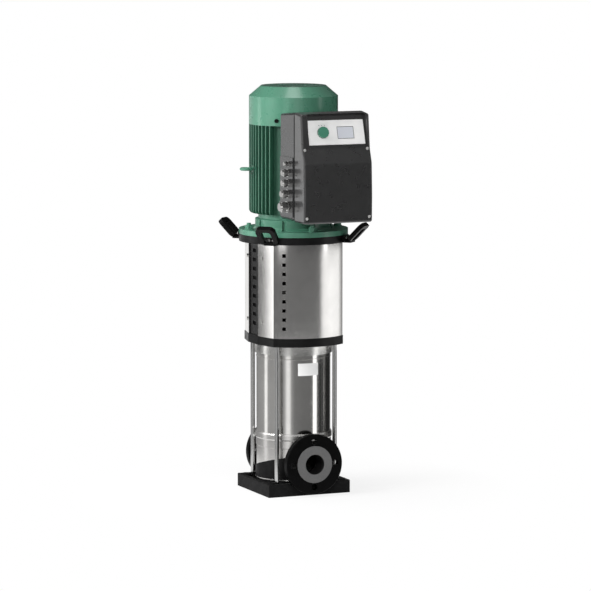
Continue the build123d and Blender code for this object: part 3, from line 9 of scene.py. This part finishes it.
import bmesh
import bpy
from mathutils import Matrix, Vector


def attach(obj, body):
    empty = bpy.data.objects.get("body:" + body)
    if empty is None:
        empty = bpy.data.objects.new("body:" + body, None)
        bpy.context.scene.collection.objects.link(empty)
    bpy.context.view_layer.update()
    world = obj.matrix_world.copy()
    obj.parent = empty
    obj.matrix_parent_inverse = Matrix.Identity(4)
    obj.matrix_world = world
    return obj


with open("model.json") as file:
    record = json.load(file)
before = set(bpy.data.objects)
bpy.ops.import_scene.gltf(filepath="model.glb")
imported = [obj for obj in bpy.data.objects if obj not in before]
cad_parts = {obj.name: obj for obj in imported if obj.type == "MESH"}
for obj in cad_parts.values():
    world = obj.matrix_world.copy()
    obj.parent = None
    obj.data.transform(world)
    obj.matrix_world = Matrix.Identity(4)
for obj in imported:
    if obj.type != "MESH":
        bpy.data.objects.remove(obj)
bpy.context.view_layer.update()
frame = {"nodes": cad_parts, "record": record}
NODES = frame["nodes"]
scene = bpy.context.scene
MM = 0.001


def shade(colour, factor):
    """The colour made darker or lighter by one factor."""
    return tuple(min(1.0, c * factor) for c in colour)


class Shader:
    """One procedural material, built from nodes in object coordinates."""

    SOCKETS = {
        "colour": "Base Color",
        "metallic": "Metallic",
        "rough": "Roughness",
        "specular": "Specular IOR Level",
        "coat": "Coat Weight",
        "coat_rough": "Coat Roughness",
        "aniso": "Anisotropic",
    }

    def __init__(self, name):
        self.mat = bpy.data.materials.new(name)
        self.mat.use_nodes = True
        self.tree = self.mat.node_tree
        self.bsdf = self.tree.nodes["Principled BSDF"]
        self.output = self.tree.nodes["Material Output"]
        self.coords = self.node("ShaderNodeTexCoord").outputs["Object"]
        self.normal = None

    def node(self, kind, **values):
        """A new node. Each value goes to the input of that name, or else to the node's own setting."""
        made = self.tree.nodes.new(kind)
        for key, value in values.items():
            if key in made.inputs:
                made.inputs[key].default_value = value
            else:
                setattr(made, key, value)
        return made

    def link(self, out, socket):
        self.tree.links.new(out, socket)

    def split(self):
        """The X, Y and Z of the object coordinates, each by itself."""
        made = self.node("ShaderNodeSeparateXYZ")
        self.link(self.coords, made.inputs[0])
        return made.outputs

    def noise(self, scale, detail, rough=0.55, vector=None):
        made = self.node("ShaderNodeTexNoise", Scale=scale, Detail=detail, Roughness=rough)
        self.link(self.coords if vector is None else vector, made.inputs["Vector"])
        return made.outputs["Fac"]

    def grinding(self, brush):
        """Streaks along the axis where brush, the noise scale along X, Y and Z, is small."""
        mapping = self.node("ShaderNodeMapping", Scale=brush)
        self.link(self.coords, mapping.inputs["Vector"])
        return self.noise(1.0, 4.0, rough=0.65, vector=mapping.outputs["Vector"])

    def ramp(self, fac, low, high, to_low, to_high):
        """Carries fac from the range low to high over to the range to_low to to_high."""
        ends = {"From Min": low, "From Max": high, "To Min": to_low, "To Max": to_high}
        made = self.node("ShaderNodeMapRange", **ends)
        self.link(fac, made.inputs["Value"])
        return made.outputs["Result"]

    def mix(self, fac, first, second):
        """Two colours, each a tuple or a socket, mixed by the socket fac."""
        made = self.node("ShaderNodeMix", data_type="RGBA")
        self.link(fac, made.inputs[0])
        for value, socket in ((first, made.inputs[6]), (second, made.inputs[7])):
            if isinstance(value, tuple):
                socket.default_value = (*value, 1.0)
            else:
                self.link(value, socket)
        return made.outputs[2]

    def maths(self, kind, first, second=0.0):
        made = self.node("ShaderNodeMath", operation=kind)
        for value, socket in ((first, made.inputs[0]), (second, made.inputs[1])):
            if isinstance(value, float):
                socket.default_value = value
            else:
                self.link(value, socket)
        return made.outputs[0]

    def patches(self, first, second, scale, detail=4.0, low=0.3, high=0.7):
        """Soft patches that go from the first colour to the second."""
        return self.mix(self.ramp(self.noise(scale, detail), low, high, 0.0, 1.0), first, second)

    def uneven(self, level, spread, scale, detail=4.0):
        """A level that drifts up and down by the spread."""
        return self.ramp(self.noise(scale, detail), 0.3, 0.7, level - spread, level + spread)

    def bump(self, height, distance):
        made = self.node("ShaderNodeBump", Distance=distance)
        self.link(height, made.inputs["Height"])
        if self.normal is not None:
            self.link(self.normal, made.inputs["Normal"])
        self.normal = made.outputs["Normal"]

    def soften(self, radius):
        """Rounds the look of hard edges. It comes before any bump."""
        self.normal = self.node("ShaderNodeBevel", samples=4, Radius=radius).outputs["Normal"]

    def edge_mask(self, radius):
        """Near 1 along edges and 0 on flats."""
        bevel = self.node("ShaderNodeBevel", samples=4, Radius=radius)
        geometry = self.node("ShaderNodeNewGeometry")
        dot = self.node("ShaderNodeVectorMath", operation="DOT_PRODUCT")
        self.link(bevel.outputs["Normal"], dot.inputs[0])
        self.link(geometry.outputs["Normal"], dot.inputs[1])
        return self.ramp(dot.outputs["Value"], 0.995, 0.85, 0.0, 1.0)

    def rubbed(self, base, worn, radius, scale, detail, most):
        """The base colour with edges rubbed here and there to the worn colour."""
        patchy = self.ramp(self.noise(scale, detail), 0.45, 0.75, 0.0, most)
        return self.mix(self.maths("MULTIPLY", self.edge_mask(radius), patchy), base, worn)

    def finish(self, **values):
        """Sets or links the surface's sockets, given by their short names, and returns the material."""
        for key, value in values.items():
            socket = self.bsdf.inputs[self.SOCKETS[key]]
            if isinstance(value, tuple):
                socket.default_value = (*value, 1.0)
            elif isinstance(value, float):
                socket.default_value = value
            else:
                self.link(value, socket)
        if self.normal is not None:
            self.link(self.normal, self.bsdf.inputs["Normal"])
        return self.mat


def paint(name, colour, rough, peel, worn, coat=0.0, specular=0.5, painted_shade_above=None):
    """Sprayed paint: orange peel, slight mottling of colour and gloss, and rubbed edges.

    Above the given height the paint is darker, a painted shade on the top of the fan grille.
    """
    s = Shader(name)
    s.soften(0.9 * MM)
    base = s.patches(shade(colour, 0.93), shade(colour, 1.06), scale=9.0, low=0.35, high=0.65)
    base = s.rubbed(base, worn, radius=1.1 * MM, scale=140.0, detail=3.0, most=0.6)
    # Painted shade: the paint goes darker above the given height, for the shaded top of the fan grille.
    if painted_shade_above is not None:
        above = s.ramp(s.split()["Z"], painted_shade_above, painted_shade_above + MM, 0.0, 1.0)
        base = s.mix(above, base, shade(colour, 0.55))
    s.bump(s.noise(650.0, 2.0), peel)
    gloss = s.uneven(rough, 0.05, scale=35.0)
    return s.finish(colour=base, rough=gloss, coat=coat, coat_rough=0.12, specular=specular)


def casting(name, colour, rough, grain, worn, specular):
    """Painted sand casting: coarse and fine grain, mottled colour and rubbed edges."""
    s = Shader(name)
    s.soften(1.4 * MM)
    base = s.patches(shade(colour, 0.8), shade(colour, 1.25), scale=60.0, detail=5.0)
    base = s.rubbed(base, worn, radius=1.6 * MM, scale=110.0, detail=4.0, most=0.7)
    s.bump(s.noise(900.0, 3.0), grain)
    s.bump(s.noise(170.0, 3.0), grain * 2.2)
    return s.finish(colour=base, rough=s.uneven(rough, 0.07, scale=80.0), specular=specular)


def metal(name, colour, rough, brush, depth, aniso=0.0, mottling=0.06, rings=0.0):
    """Bare metal with grinding marks, and with rolled rings of that depth where rings is more than 0."""
    s = Shader(name)
    s.soften(0.6 * MM)
    marks = s.grinding(brush)
    tint = s.patches(shade(colour, 1.0 - mottling), shade(colour, 1.0 + mottling), scale=14.0)
    s.bump(marks, depth)
    if rings > 0.0:
        settings = dict(wave_type="BANDS", bands_direction="Z", wave_profile="SIN")
        wave = s.node("ShaderNodeTexWave", Scale=31.0, Distortion=0.6, Detail=2.0, **settings)
        s.link(s.coords, wave.inputs["Vector"])
        s.bump(wave.outputs["Fac"], rings)
    gloss = s.ramp(marks, 0.3, 0.7, rough - 0.05, rough + 0.05)
    return s.finish(colour=tint, metallic=1.0, rough=gloss, aniso=aniso)


def plastic(name, colour, rough, grain, coat=0.0):
    """Moulded plastic with a fine spark-eroded grain."""
    s = Shader(name)
    s.soften(0.7 * MM)
    base = s.patches(shade(colour, 0.94), shade(colour, 1.05), scale=22.0)
    cells = s.node("ShaderNodeTexVoronoi", Scale=1400.0)
    s.link(s.coords, cells.inputs["Vector"])
    s.bump(cells.outputs["Distance"], grain)
    gloss = s.uneven(rough, 0.04, scale=50.0, detail=3.0)
    return s.finish(colour=base, rough=gloss, coat=coat, coat_rough=0.08)


def housing(name, port_height, face_out, bore_out, bore_radius):
    """Satin stainless, with dull grey collar faces, and port bores painted near black as painted shade.

    Along Y, the faces lie further out than face_out and the bores further out than bore_out.
    """
    s = Shader(name)
    s.soften(0.6 * MM)
    steel = s.patches((0.60, 0.59, 0.58), (0.68, 0.67, 0.65), scale=14.0)
    s.bump(s.grinding(ROUND_GRIND), 0.015 * MM)
    place = s.split()
    outward = s.maths("ABSOLUTE", place["Y"])
    face = s.maths("GREATER_THAN", outward, face_out)
    rise = s.maths("SUBTRACT", place["Z"], port_height)
    squares = s.maths("ADD", s.maths("MULTIPLY", place["X"], place["X"]), s.maths("MULTIPLY", rise, rise))
    within = s.maths("LESS_THAN", s.maths("SQRT", squares), bore_radius)
    # Inside the port bores the colour is near black, a painted shade in the ports.
    painted_bore_shade = s.maths("MULTIPLY", within, s.maths("GREATER_THAN", outward, bore_out))
    grain = s.patches((0.085, 0.085, 0.085), (0.112, 0.112, 0.112), scale=220.0)
    colour = s.mix(painted_bore_shade, s.mix(face, steel, grain), (0.004, 0.004, 0.004))
    dull = s.maths("MAXIMUM", face, painted_bore_shade)
    bare = s.maths("SUBTRACT", 1.0, dull)
    return s.finish(colour=colour, metallic=bare, rough=s.ramp(dull, 0.0, 1.0, 0.27, 0.62))


def display(name):
    """Clear window over a grey display with fine dots."""
    s = Shader(name)
    s.bump(s.noise(500.0, 2.0), 0.003 * MM)
    dots = s.node("ShaderNodeTexChecker", Scale=900.0)
    s.link(s.coords, dots.inputs["Vector"])
    faint = s.ramp(dots.outputs["Fac"], 0.0, 1.0, 0.0, 0.4)
    screen = s.mix(faint, (0.56, 0.58, 0.63), (0.50, 0.52, 0.57))
    return s.finish(colour=screen, rough=0.12, coat=0.6, coat_rough=0.03)


GREEN = (0.056, 0.184, 0.120)
# A darker copy of the green, a painted shade for the motor frame between its fins and under the drive box.
SHADED_GREEN = (0.024, 0.096, 0.059)
GRILLE_HEIGHT = 1.117

# Noise scales along X, Y and Z: round the axis, up the sheet, or the same all ways
ROUND_GRIND = (70.0, 70.0, 2600.0)
POLISH = (12.0, 12.0, 1500.0)
SHEET_GRIND = (1900.0, 1900.0, 22.0)
ROD_GRIND = (900.0, 900.0, 60.0)
TURNED = (60.0, 60.0, 2500.0)
STACKED = (20.0, 20.0, 2000.0)
EVEN = (500.0, 500.0, 500.0)
EVEN_WIDE = (400.0, 400.0, 400.0)

# Depths of peel, grain, grinding marks and rings are in metres, as the bump takes them
LOOKS = {
    "green_paint": (paint, dict(
        colour=GREEN, rough=0.34, peel=0.00005, coat=0.15, worn=(0.17, 0.38, 0.28))),
    # The cowl's paint turns darker above the grille height, a painted shade on the grille top.
    "green_cowl": (paint, dict(
        colour=GREEN, rough=0.30, peel=0.00003, coat=0.2, worn=(0.18, 0.40, 0.30),
        painted_shade_above=GRILLE_HEIGHT)),
    # Motor frame paint: the same green darkened as painted shade, for the fins and the zone under the drive
    # box.
    "green_frame": (paint, dict(
        colour=SHADED_GREEN, rough=0.38, peel=0.00005, coat=0.05, worn=(0.12, 0.28, 0.20))),
    "black_cast": (casting, dict(
        colour=(0.0110, 0.0110, 0.0112), rough=0.42, grain=0.00006, worn=(0.04, 0.04, 0.04), specular=0.02)),
    "black_ring": (casting, dict(
        colour=(0.0030, 0.0030, 0.0031), rough=0.36, grain=0.00004, worn=(0.03, 0.03, 0.03), specular=0.20)),
    "cast_dark": (casting, dict(
        colour=(0.0018, 0.0018, 0.0019), rough=0.42, grain=0.00007, worn=(0.02, 0.02, 0.02), specular=0.05)),
    "handle_black": (paint, dict(
        colour=(0.0028, 0.0027, 0.0026), rough=0.30, peel=0.00003, worn=(0.03, 0.03, 0.03), specular=0.10)),
    "stainless": (metal, dict(
        colour=(0.76, 0.755, 0.735), rough=0.24, brush=ROUND_GRIND, depth=0.000012, aniso=0.35)),
    "stainless_bright": (metal, dict(
        colour=(0.72, 0.71, 0.69), rough=0.13, brush=POLISH, depth=0.000008, aniso=0.3, rings=0.00003)),
    "guard_sheet": (metal, dict(
        colour=(0.68, 0.67, 0.655), rough=0.15, brush=SHEET_GRIND, depth=0.000006, aniso=0.3)),
    "vent_sheet": (metal, dict(colour=(0.17, 0.17, 0.17), rough=0.22, brush=SHEET_GRIND, depth=0.000008)),
    "zinc_steel": (metal, dict(
        colour=(0.62, 0.62, 0.60), rough=0.20, brush=EVEN, depth=0.00001, mottling=0.15)),
    "rod_steel": (metal, dict(colour=(0.54, 0.54, 0.535), rough=0.14, brush=ROD_GRIND, depth=0.000008)),
    "nickel": (metal, dict(
        colour=(0.52, 0.515, 0.505), rough=0.08, brush=EVEN_WIDE, depth=0.000005, mottling=0.04)),
    "bright_zinc": (metal, dict(colour=(0.86, 0.86, 0.84), rough=0.5, brush=EVEN, depth=0.00001)),
    "steel": (metal, dict(colour=(0.42, 0.42, 0.42), rough=0.3, brush=TURNED, depth=0.00002)),
    "laminated": (metal, dict(colour=(0.28, 0.28, 0.29), rough=0.45, brush=STACKED, depth=0.00008)),
    "grey_body": (paint, dict(
        colour=(0.012, 0.012, 0.0125), rough=0.24, peel=0.00003, coat=0.6, worn=(0.10, 0.10, 0.10))),
    "black_plastic": (plastic, dict(colour=(0.0205, 0.0205, 0.0207), rough=0.30, grain=0.000002, coat=0.9)),
    "white_panel": (plastic, dict(colour=(0.76, 0.76, 0.755), rough=0.35, grain=0.00001, coat=0.2)),
    "knob_green": (plastic, dict(colour=(0.042, 0.180, 0.115), rough=0.3, grain=0.00001, coat=0.2)),
    "rubber": (plastic, dict(colour=(0.004, 0.004, 0.004), rough=0.6, grain=0.00005)),
    "copper": (plastic, dict(colour=(0.35, 0.12, 0.04), rough=0.3, grain=0.00008, coat=0.3)),
    "carbon": (plastic, dict(colour=(0.02, 0.02, 0.02), rough=0.35, grain=0.00002)),
    "ceramic": (plastic, dict(colour=(0.70, 0.69, 0.66), rough=0.25, grain=0.00001)),
    "board_green": (plastic, dict(colour=(0.015, 0.11, 0.045), rough=0.3, grain=0.00003, coat=0.3)),
    "housing": (housing, dict(port_height=0.09, face_out=0.1465, bore_out=0.06, bore_radius=0.0277)),
    "lcd_glass": (display, {}),
}
mats = {name: make(name, **values) for name, (make, values) in LOOKS.items()}

# Nodes with a material of their own in place of their slot's
SPECIAL = {
    "guard_front": "guard_sheet",
    "guard_back": "guard_sheet",
    "side_vent_panels": "vent_sheet",
    "tie_rods": "rod_steel",
    "pump_housing": "housing",
    # The motor frame takes the darker green, a painted shade.
    "motor_frame": "green_frame",
    "lantern_base": "black_ring",
    "lantern_top": "black_ring",
    "cover_screws": "bright_zinc",
}


def dress_nodes():
    """Gives each CAD node the material of its slot, or its own one from SPECIAL."""
    slot_of = {entry["node"]: entry["material_slot"] for entry in frame["record"]["subparts"]}
    for name, node in NODES.items():
        material = mats[SPECIAL.get(name, slot_of[name])]
        if node.material_slots:
            for held in node.material_slots:
                held.material = material
        else:
            node.data.materials.append(material)


dress_nodes()

BOX_FACES = [(0, 1, 3, 2), (4, 6, 7, 5), (0, 4, 5, 1), (2, 3, 7, 6), (0, 2, 6, 4), (1, 5, 7, 3)]


def piece(name, verts, faces, material):
    """A new mesh piece on the pump body, from points in millimetres."""
    mesh = bpy.data.meshes.new(name)
    mesh.from_pydata([tuple(c * MM for c in v) for v in verts], [], faces)
    work = bmesh.new()
    work.from_mesh(mesh)
    bmesh.ops.recalc_face_normals(work, faces=work.faces)
    work.to_mesh(mesh)
    work.free()
    made = bpy.data.objects.new(name, mesh)
    scene.collection.objects.link(made)
    mesh.materials.append(mats[material])
    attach(made, "pump")


def block(name, xs, ys, zs, material):
    """A plain box. xs, ys and zs each hold its low and high end."""
    piece(name, [(x, y, z) for x in xs for y in ys for z in zs], BOX_FACES, material)


def wrapped_plate(name, radius, thick, angles, heights, material):
    """A thin plate on a round wall. Its two angles in degrees start at -Y and grow towards +X."""
    steps = 24
    start, stop = angles
    verts = []
    for index in range(steps + 1):
        angle = radians(start + (stop - start) * index / steps)
        for r in (radius, radius + thick):
            verts += [(r * sin(angle), -r * cos(angle), z) for z in heights]
    end = steps * 4
    faces = [(0, 2, 3, 1), (end, end + 1, end + 3, end + 2)]
    for a in range(0, end, 4):
        b = a + 4
        faces += [(a + 2, b + 2, b + 3, a + 3), (a, a + 1, b + 1, b)]
        faces += [(a + 1, a + 3, b + 3, b + 1), (a, b, b + 2, a + 2)]
    piece(name, verts, faces, material)


# The lip of the cover gasket, which shows as a black line beside the joint on both sides of the drive body
BODY_HALF_WIDTH = 100.0
LIP_EDGE = BODY_HALF_WIDTH + 0.4
LIP_DEPTH = (-240.2, -236.4)
LIP_HEIGHT = (778.0, 1052.0)
block("gasket_lip_left", (-LIP_EDGE, -BODY_HALF_WIDTH), LIP_DEPTH, LIP_HEIGHT, "rubber")
block("gasket_lip_right", (BODY_HALF_WIDTH, LIP_EDGE), LIP_DEPTH, LIP_HEIGHT, "rubber")

# A bare label on the jacket, where the photograph shows a printed one
wrapped_plate("jacket_label", radius=102.22, thick=0.18, angles=(-16.2, 17.9), heights=(329.0, 363.0),
              material="white_panel")

# The display panel leans back. A point on it is given by X and by its way up and out from the foot
PANEL_TILT = radians(17.0)
PANEL_FOOT_Y = -288.0
PANEL_FOOT_Z = 966.0


def on_panel(x, up, out):
    """A point on the leaning display panel."""
    y = PANEL_FOOT_Y + up * sin(PANEL_TILT) - out * cos(PANEL_TILT)
    return (x, y, PANEL_FOOT_Z + up * cos(PANEL_TILT) + out * sin(PANEL_TILT))


def plate_on_panel(name, xs, ups, outs):
    """A black plate on the panel. xs, ups and outs each hold its low and high end."""
    verts = [on_panel(x, up, out) for out in outs for up in ups for x in xs]
    piece(name, verts, BOX_FACES, "black_plastic")


# A thin frame round the display window
WINDOW_X = 33.5
WINDOW_UP = 42.0
WINDOW_WIDE = 46.0
WINDOW_TALL = 31.0
FRAME_GAP = 0.1
FRAME_EDGE = 1.2
FRAME_OUTS = (-0.2, 0.35)
left = WINDOW_X - WINDOW_WIDE / 2
right = WINDOW_X + WINDOW_WIDE / 2
low = WINDOW_UP - WINDOW_TALL / 2
high = WINDOW_UP + WINDOW_TALL / 2
full_width = (left - FRAME_EDGE, right + FRAME_EDGE)
plate_on_panel("window_frame_low", full_width, (low - FRAME_EDGE, low - FRAME_GAP), FRAME_OUTS)
plate_on_panel("window_frame_high", full_width, (high + FRAME_GAP, high + FRAME_EDGE), FRAME_OUTS)
plate_on_panel("window_frame_left", (left - FRAME_EDGE, left - FRAME_GAP), (low, high), FRAME_OUTS)
plate_on_panel("window_frame_right", (right + FRAME_GAP, right + FRAME_EDGE), (low, high), FRAME_OUTS)

# Three plain marks above the knob, bare of text
KNOB_X = -33.5
MARK_PITCH = 8.0
MARK_HALF_WIDTH = 1.5
MARK_UPS = (62.5, 63.7)
MARK_OUTS = (-0.2, 0.12)
for index in range(3):
    x = KNOB_X + (index - 1) * MARK_PITCH
    across = (x - MARK_HALF_WIDTH, x + MARK_HALF_WIDTH)
    plate_on_panel("panel_mark_%d" % index, across, MARK_UPS, MARK_OUTS)

# Studio: white surroundings and floor, soft lamps, and rings of panels that only the gloss sees
WORLD_LIGHT = 0.18
FLOOR_SHADOWED_TO = 0.20
FLOOR_WHITE_FROM = 0.62
FLOOR_NEAR_WHITE = 0.82
FLOOR_REACH = 40


def seen_ray(tree):
    """1 for camera, glossy and transmission rays, 0 for the light on the object."""
    path = tree.nodes.new("ShaderNodeLightPath")
    total = path.outputs["Is Camera Ray"]
    for name in ("Is Glossy Ray", "Is Transmission Ray"):
        most = tree.nodes.new("ShaderNodeMath")
        most.operation = "MAXIMUM"
        tree.links.new(total, most.inputs[0])
        tree.links.new(path.outputs[name], most.inputs[1])
        total = most.outputs[0]
    return total


def white_world():
    """A world that is seen as white and lights the object softly."""
    world = bpy.data.worlds.new("studio")
    scene.world = world
    world.use_nodes = True
    tree = world.node_tree
    background = tree.nodes["Background"]
    level = tree.nodes.new("ShaderNodeMapRange")
    level.inputs["To Min"].default_value = WORLD_LIGHT
    level.inputs["To Max"].default_value = 1.0
    tree.links.new(seen_ray(tree), level.inputs["Value"])
    background.inputs["Color"].default_value = (1, 1, 1, 1)
    tree.links.new(level.outputs["Result"], background.inputs["Strength"])


def stage_mesh(name, verts, faces, material):
    """A mesh of the studio, which isn't part of the pump."""
    mesh = bpy.data.meshes.new(name)
    mesh.from_pydata(verts, [], faces)
    mesh.materials.append(material)
    made = bpy.data.objects.new(name, mesh)
    scene.collection.objects.link(made)
    return made


def white_floor():
    """A floor that keeps a soft shadow near the object, and is seen as plain white further out."""
    s = Shader("floor")
    s.finish(colour=(0.93, 0.93, 0.93), rough=0.75, specular=0.1)
    length = s.node("ShaderNodeVectorMath", operation="LENGTH")
    s.link(s.coords, length.inputs[0])
    white = s.ramp(length.outputs["Value"], FLOOR_SHADOWED_TO, FLOOR_WHITE_FROM, FLOOR_NEAR_WHITE, 1.0)
    glow = s.node("ShaderNodeEmission", Strength=1.0)
    blend = s.node("ShaderNodeMixShader")
    s.link(s.maths("MULTIPLY", seen_ray(s.tree), white), blend.inputs[0])
    s.link(s.bsdf.outputs[0], blend.inputs[1])
    s.link(glow.outputs[0], blend.inputs[2])
    s.link(blend.outputs[0], s.output.inputs["Surface"])
    corners = [(-1, -1), (1, -1), (1, 1), (-1, 1)]
    stage_mesh("floor", [(x * FLOOR_REACH, y * FLOOR_REACH, 0) for x, y in corners], [(0, 1, 2, 3)], s.mat)


def gloss_panel(name, verts, faces, levels):
    """A stage mesh that only glossy rays see, with one brightness for each point."""
    s = Shader(name)
    lit = s.node("ShaderNodeEmission")
    level = s.node("ShaderNodeAttribute", attribute_name="level")
    s.link(level.outputs["Fac"], lit.inputs["Strength"])
    s.link(lit.outputs[0], s.output.inputs["Surface"])
    made = stage_mesh(name, verts, faces, s.mat)
    made.data.attributes.new("level", "FLOAT", "POINT").data.foreach_set("value", levels)
    for ray in ("camera", "diffuse", "shadow", "transmission", "volume_scatter"):
        setattr(made, "visible_" + ray, False)


def level_at(stops, angle):
    """The brightness at an angle, in a straight line between the stops on both sides of it."""
    for (a, low), (b, high) in zip(stops, stops[1:]):
        if a <= angle <= b:
            return low + (high - low) * (angle - a) / (b - a)


def surround(name, radius, heights, stops):
    """A ring of panels. Each stop is an angle from -Y towards +X in degrees, with its brightness."""
    verts = []
    levels = []
    for degrees in range(-180, 181):
        angle = radians(degrees)
        for z in heights:
            verts.append((radius * sin(angle), -radius * cos(angle), z))
            levels.append(level_at(stops, degrees))
    faces = [(a, a + 1, a + 3, a + 2) for a in range(0, len(verts) - 2, 2)]
    gloss_panel(name, verts, faces, levels)


def disc(name, x, y, z, radius, level):
    """A horizontal round panel."""
    angles = [radians(degrees) for degrees in range(0, 360, 10)]
    verts = [(x + radius * sin(angle), y + radius * cos(angle), z) for angle in angles]
    gloss_panel(name, verts, [tuple(range(len(verts)))], [level] * len(verts))


def lamp(name, place, target_height, size, watts):
    """A square lamp that points at the pump's axis."""
    data = bpy.data.lights.new(name, "AREA")
    data.energy = watts
    data.size = size
    made = bpy.data.objects.new(name, data)
    scene.collection.objects.link(made)
    made.location = place
    aim = Vector((0, 0, target_height)) - Vector(place)
    made.rotation_euler = aim.to_track_quat("-Z", "Y").to_euler()


white_world()
white_floor()

# The near ring mirrors in the jacket and the low parts, the rings further out in what lies above
NEAR = 0.62
FAR = 1.2
RING_FOOT = 0.262
RING_MIDDLE = 0.572
RING_TOP = 1.16
CEILING = 1.7
surround("low_ring", NEAR, (0.004, 0.33), [
    (-180, 0.24), (-150, 0.34), (-124, 0.38), (-118, 0.42), (-117, 1.25), (-107, 1.2), (-104, 0.36),
    (-78, 0.38), (-52, 0.28), (-46, 0.6), (-42, 1.1), (-34, 1.1), (-29, 0.38), (-20, 0.21), (0, 0.18),
    (33, 0.16), (35, 0.2), (36, 1.8), (47.5, 1.8), (48.5, 0.14), (60, 0.04), (66, 0.03), (70, 0.10),
    (73, 0.03), (100, 0.02), (120, 0.02), (135, 0.5), (155, 0.5), (168, 0.14), (180, 0.14)])
surround("mid_ring", FAR, (RING_FOOT, RING_MIDDLE), [
    (-180, 1.0), (-164, 0.9), (-157, 0.16), (-144, 0.14), (-138, 0.5), (-130, 1.9), (-107, 1.9),
    (-103, 0.1), (-84, 0.14), (-76, 0.18), (-20, 0.18), (25, 0.19), (33, 0.22), (36, 0.5), (41, 1.2),
    (60, 1.4), (84, 1.3), (90, 0.7), (98, 0.25), (120, 0.2), (160, 0.8), (180, 1.0)])
surround("top_ring", FAR, (RING_TOP, CEILING), [
    (-180, 0.12), (-60, 0.22), (60, 0.16), (120, 0.04), (180, 0.12)])
surround("high_ring", FAR, (RING_MIDDLE, RING_TOP), [
    (-180, 0.5), (-174, 0.75), (-140, 0.8), (-130, 0.8), (-124, 0.7), (-122, 3.8), (-116, 3.8),
    (-112, 0.5), (-80, 0.35), (-50, 0.25), (-46, 1.4), (-36, 1.4), (-31, 0.2), (-10, 0.08), (36, 0.05),
    (41, 0.08), (43, 2.2), (50, 2.2), (53, 0.08), (70, 0.03), (120, 0.02), (140, 0.03), (160, 0.03),
    (170, 0.1), (180, 0.6)])

# A dim ceiling over the rings with a bright window just below it
disc("ceiling", 0.0, 0.0, CEILING, radius=FAR, level=0.2)
disc("ceiling_window", -0.05, -0.12, CEILING - 0.01, radius=0.15, level=4.6)

# A dark board behind the left wing of the guard
BOARD_OUTER = (-0.390, 0.150)
BOARD_INNER = (-0.233, 0.344)
BOARD_LOW = 0.34
BOARD_HIGH = 0.665
lower = [(*BOARD_OUTER, BOARD_LOW), (*BOARD_INNER, BOARD_LOW)]
upper = [(*BOARD_INNER, BOARD_HIGH), (*BOARD_OUTER, BOARD_HIGH)]
gloss_panel("wing_board", lower + upper, [(0, 1, 2, 3)], [0.16, 0.12, 0.12, 0.16])

lamp("key", (-2.8, -0.25, 2.0), target_height=0.65, size=1.3, watts=108.0)
lamp("fill", (-0.8, -2.9, 1.9), target_height=0.6, size=1.6, watts=54.0)
lamp("top", (-0.6, 0.3, 3.6), target_height=0.6, size=1.8, watts=30.0)

# Camera, fitted to the photograph: base corners, flange and motor
PHOTO_PX = 591
FOCAL_PX = 3635.09
AXIS_PX = 293.46
SENSOR_MM = 36.0
AZIMUTH = radians(-23.11)
LOOK_DOWN = radians(6.68)
DISTANCE = 9.94507
HEIGHT = 1.70378

camera_data = bpy.data.cameras.new("camera")
camera_data.sensor_width = SENSOR_MM
camera_data.lens = FOCAL_PX / PHOTO_PX * SENSOR_MM
camera_data.shift_x = (PHOTO_PX / 2 - AXIS_PX) / PHOTO_PX
camera_data.clip_end = 200.0
camera = bpy.data.objects.new("camera", camera_data)
scene.collection.objects.link(camera)
camera.location = (sin(AZIMUTH) * DISTANCE, -cos(AZIMUTH) * DISTANCE, HEIGHT)
camera.rotation_euler = (radians(90.0) - LOOK_DOWN, 0, AZIMUTH)
scene.camera = camera
scene.view_settings.view_transform = "Standard"
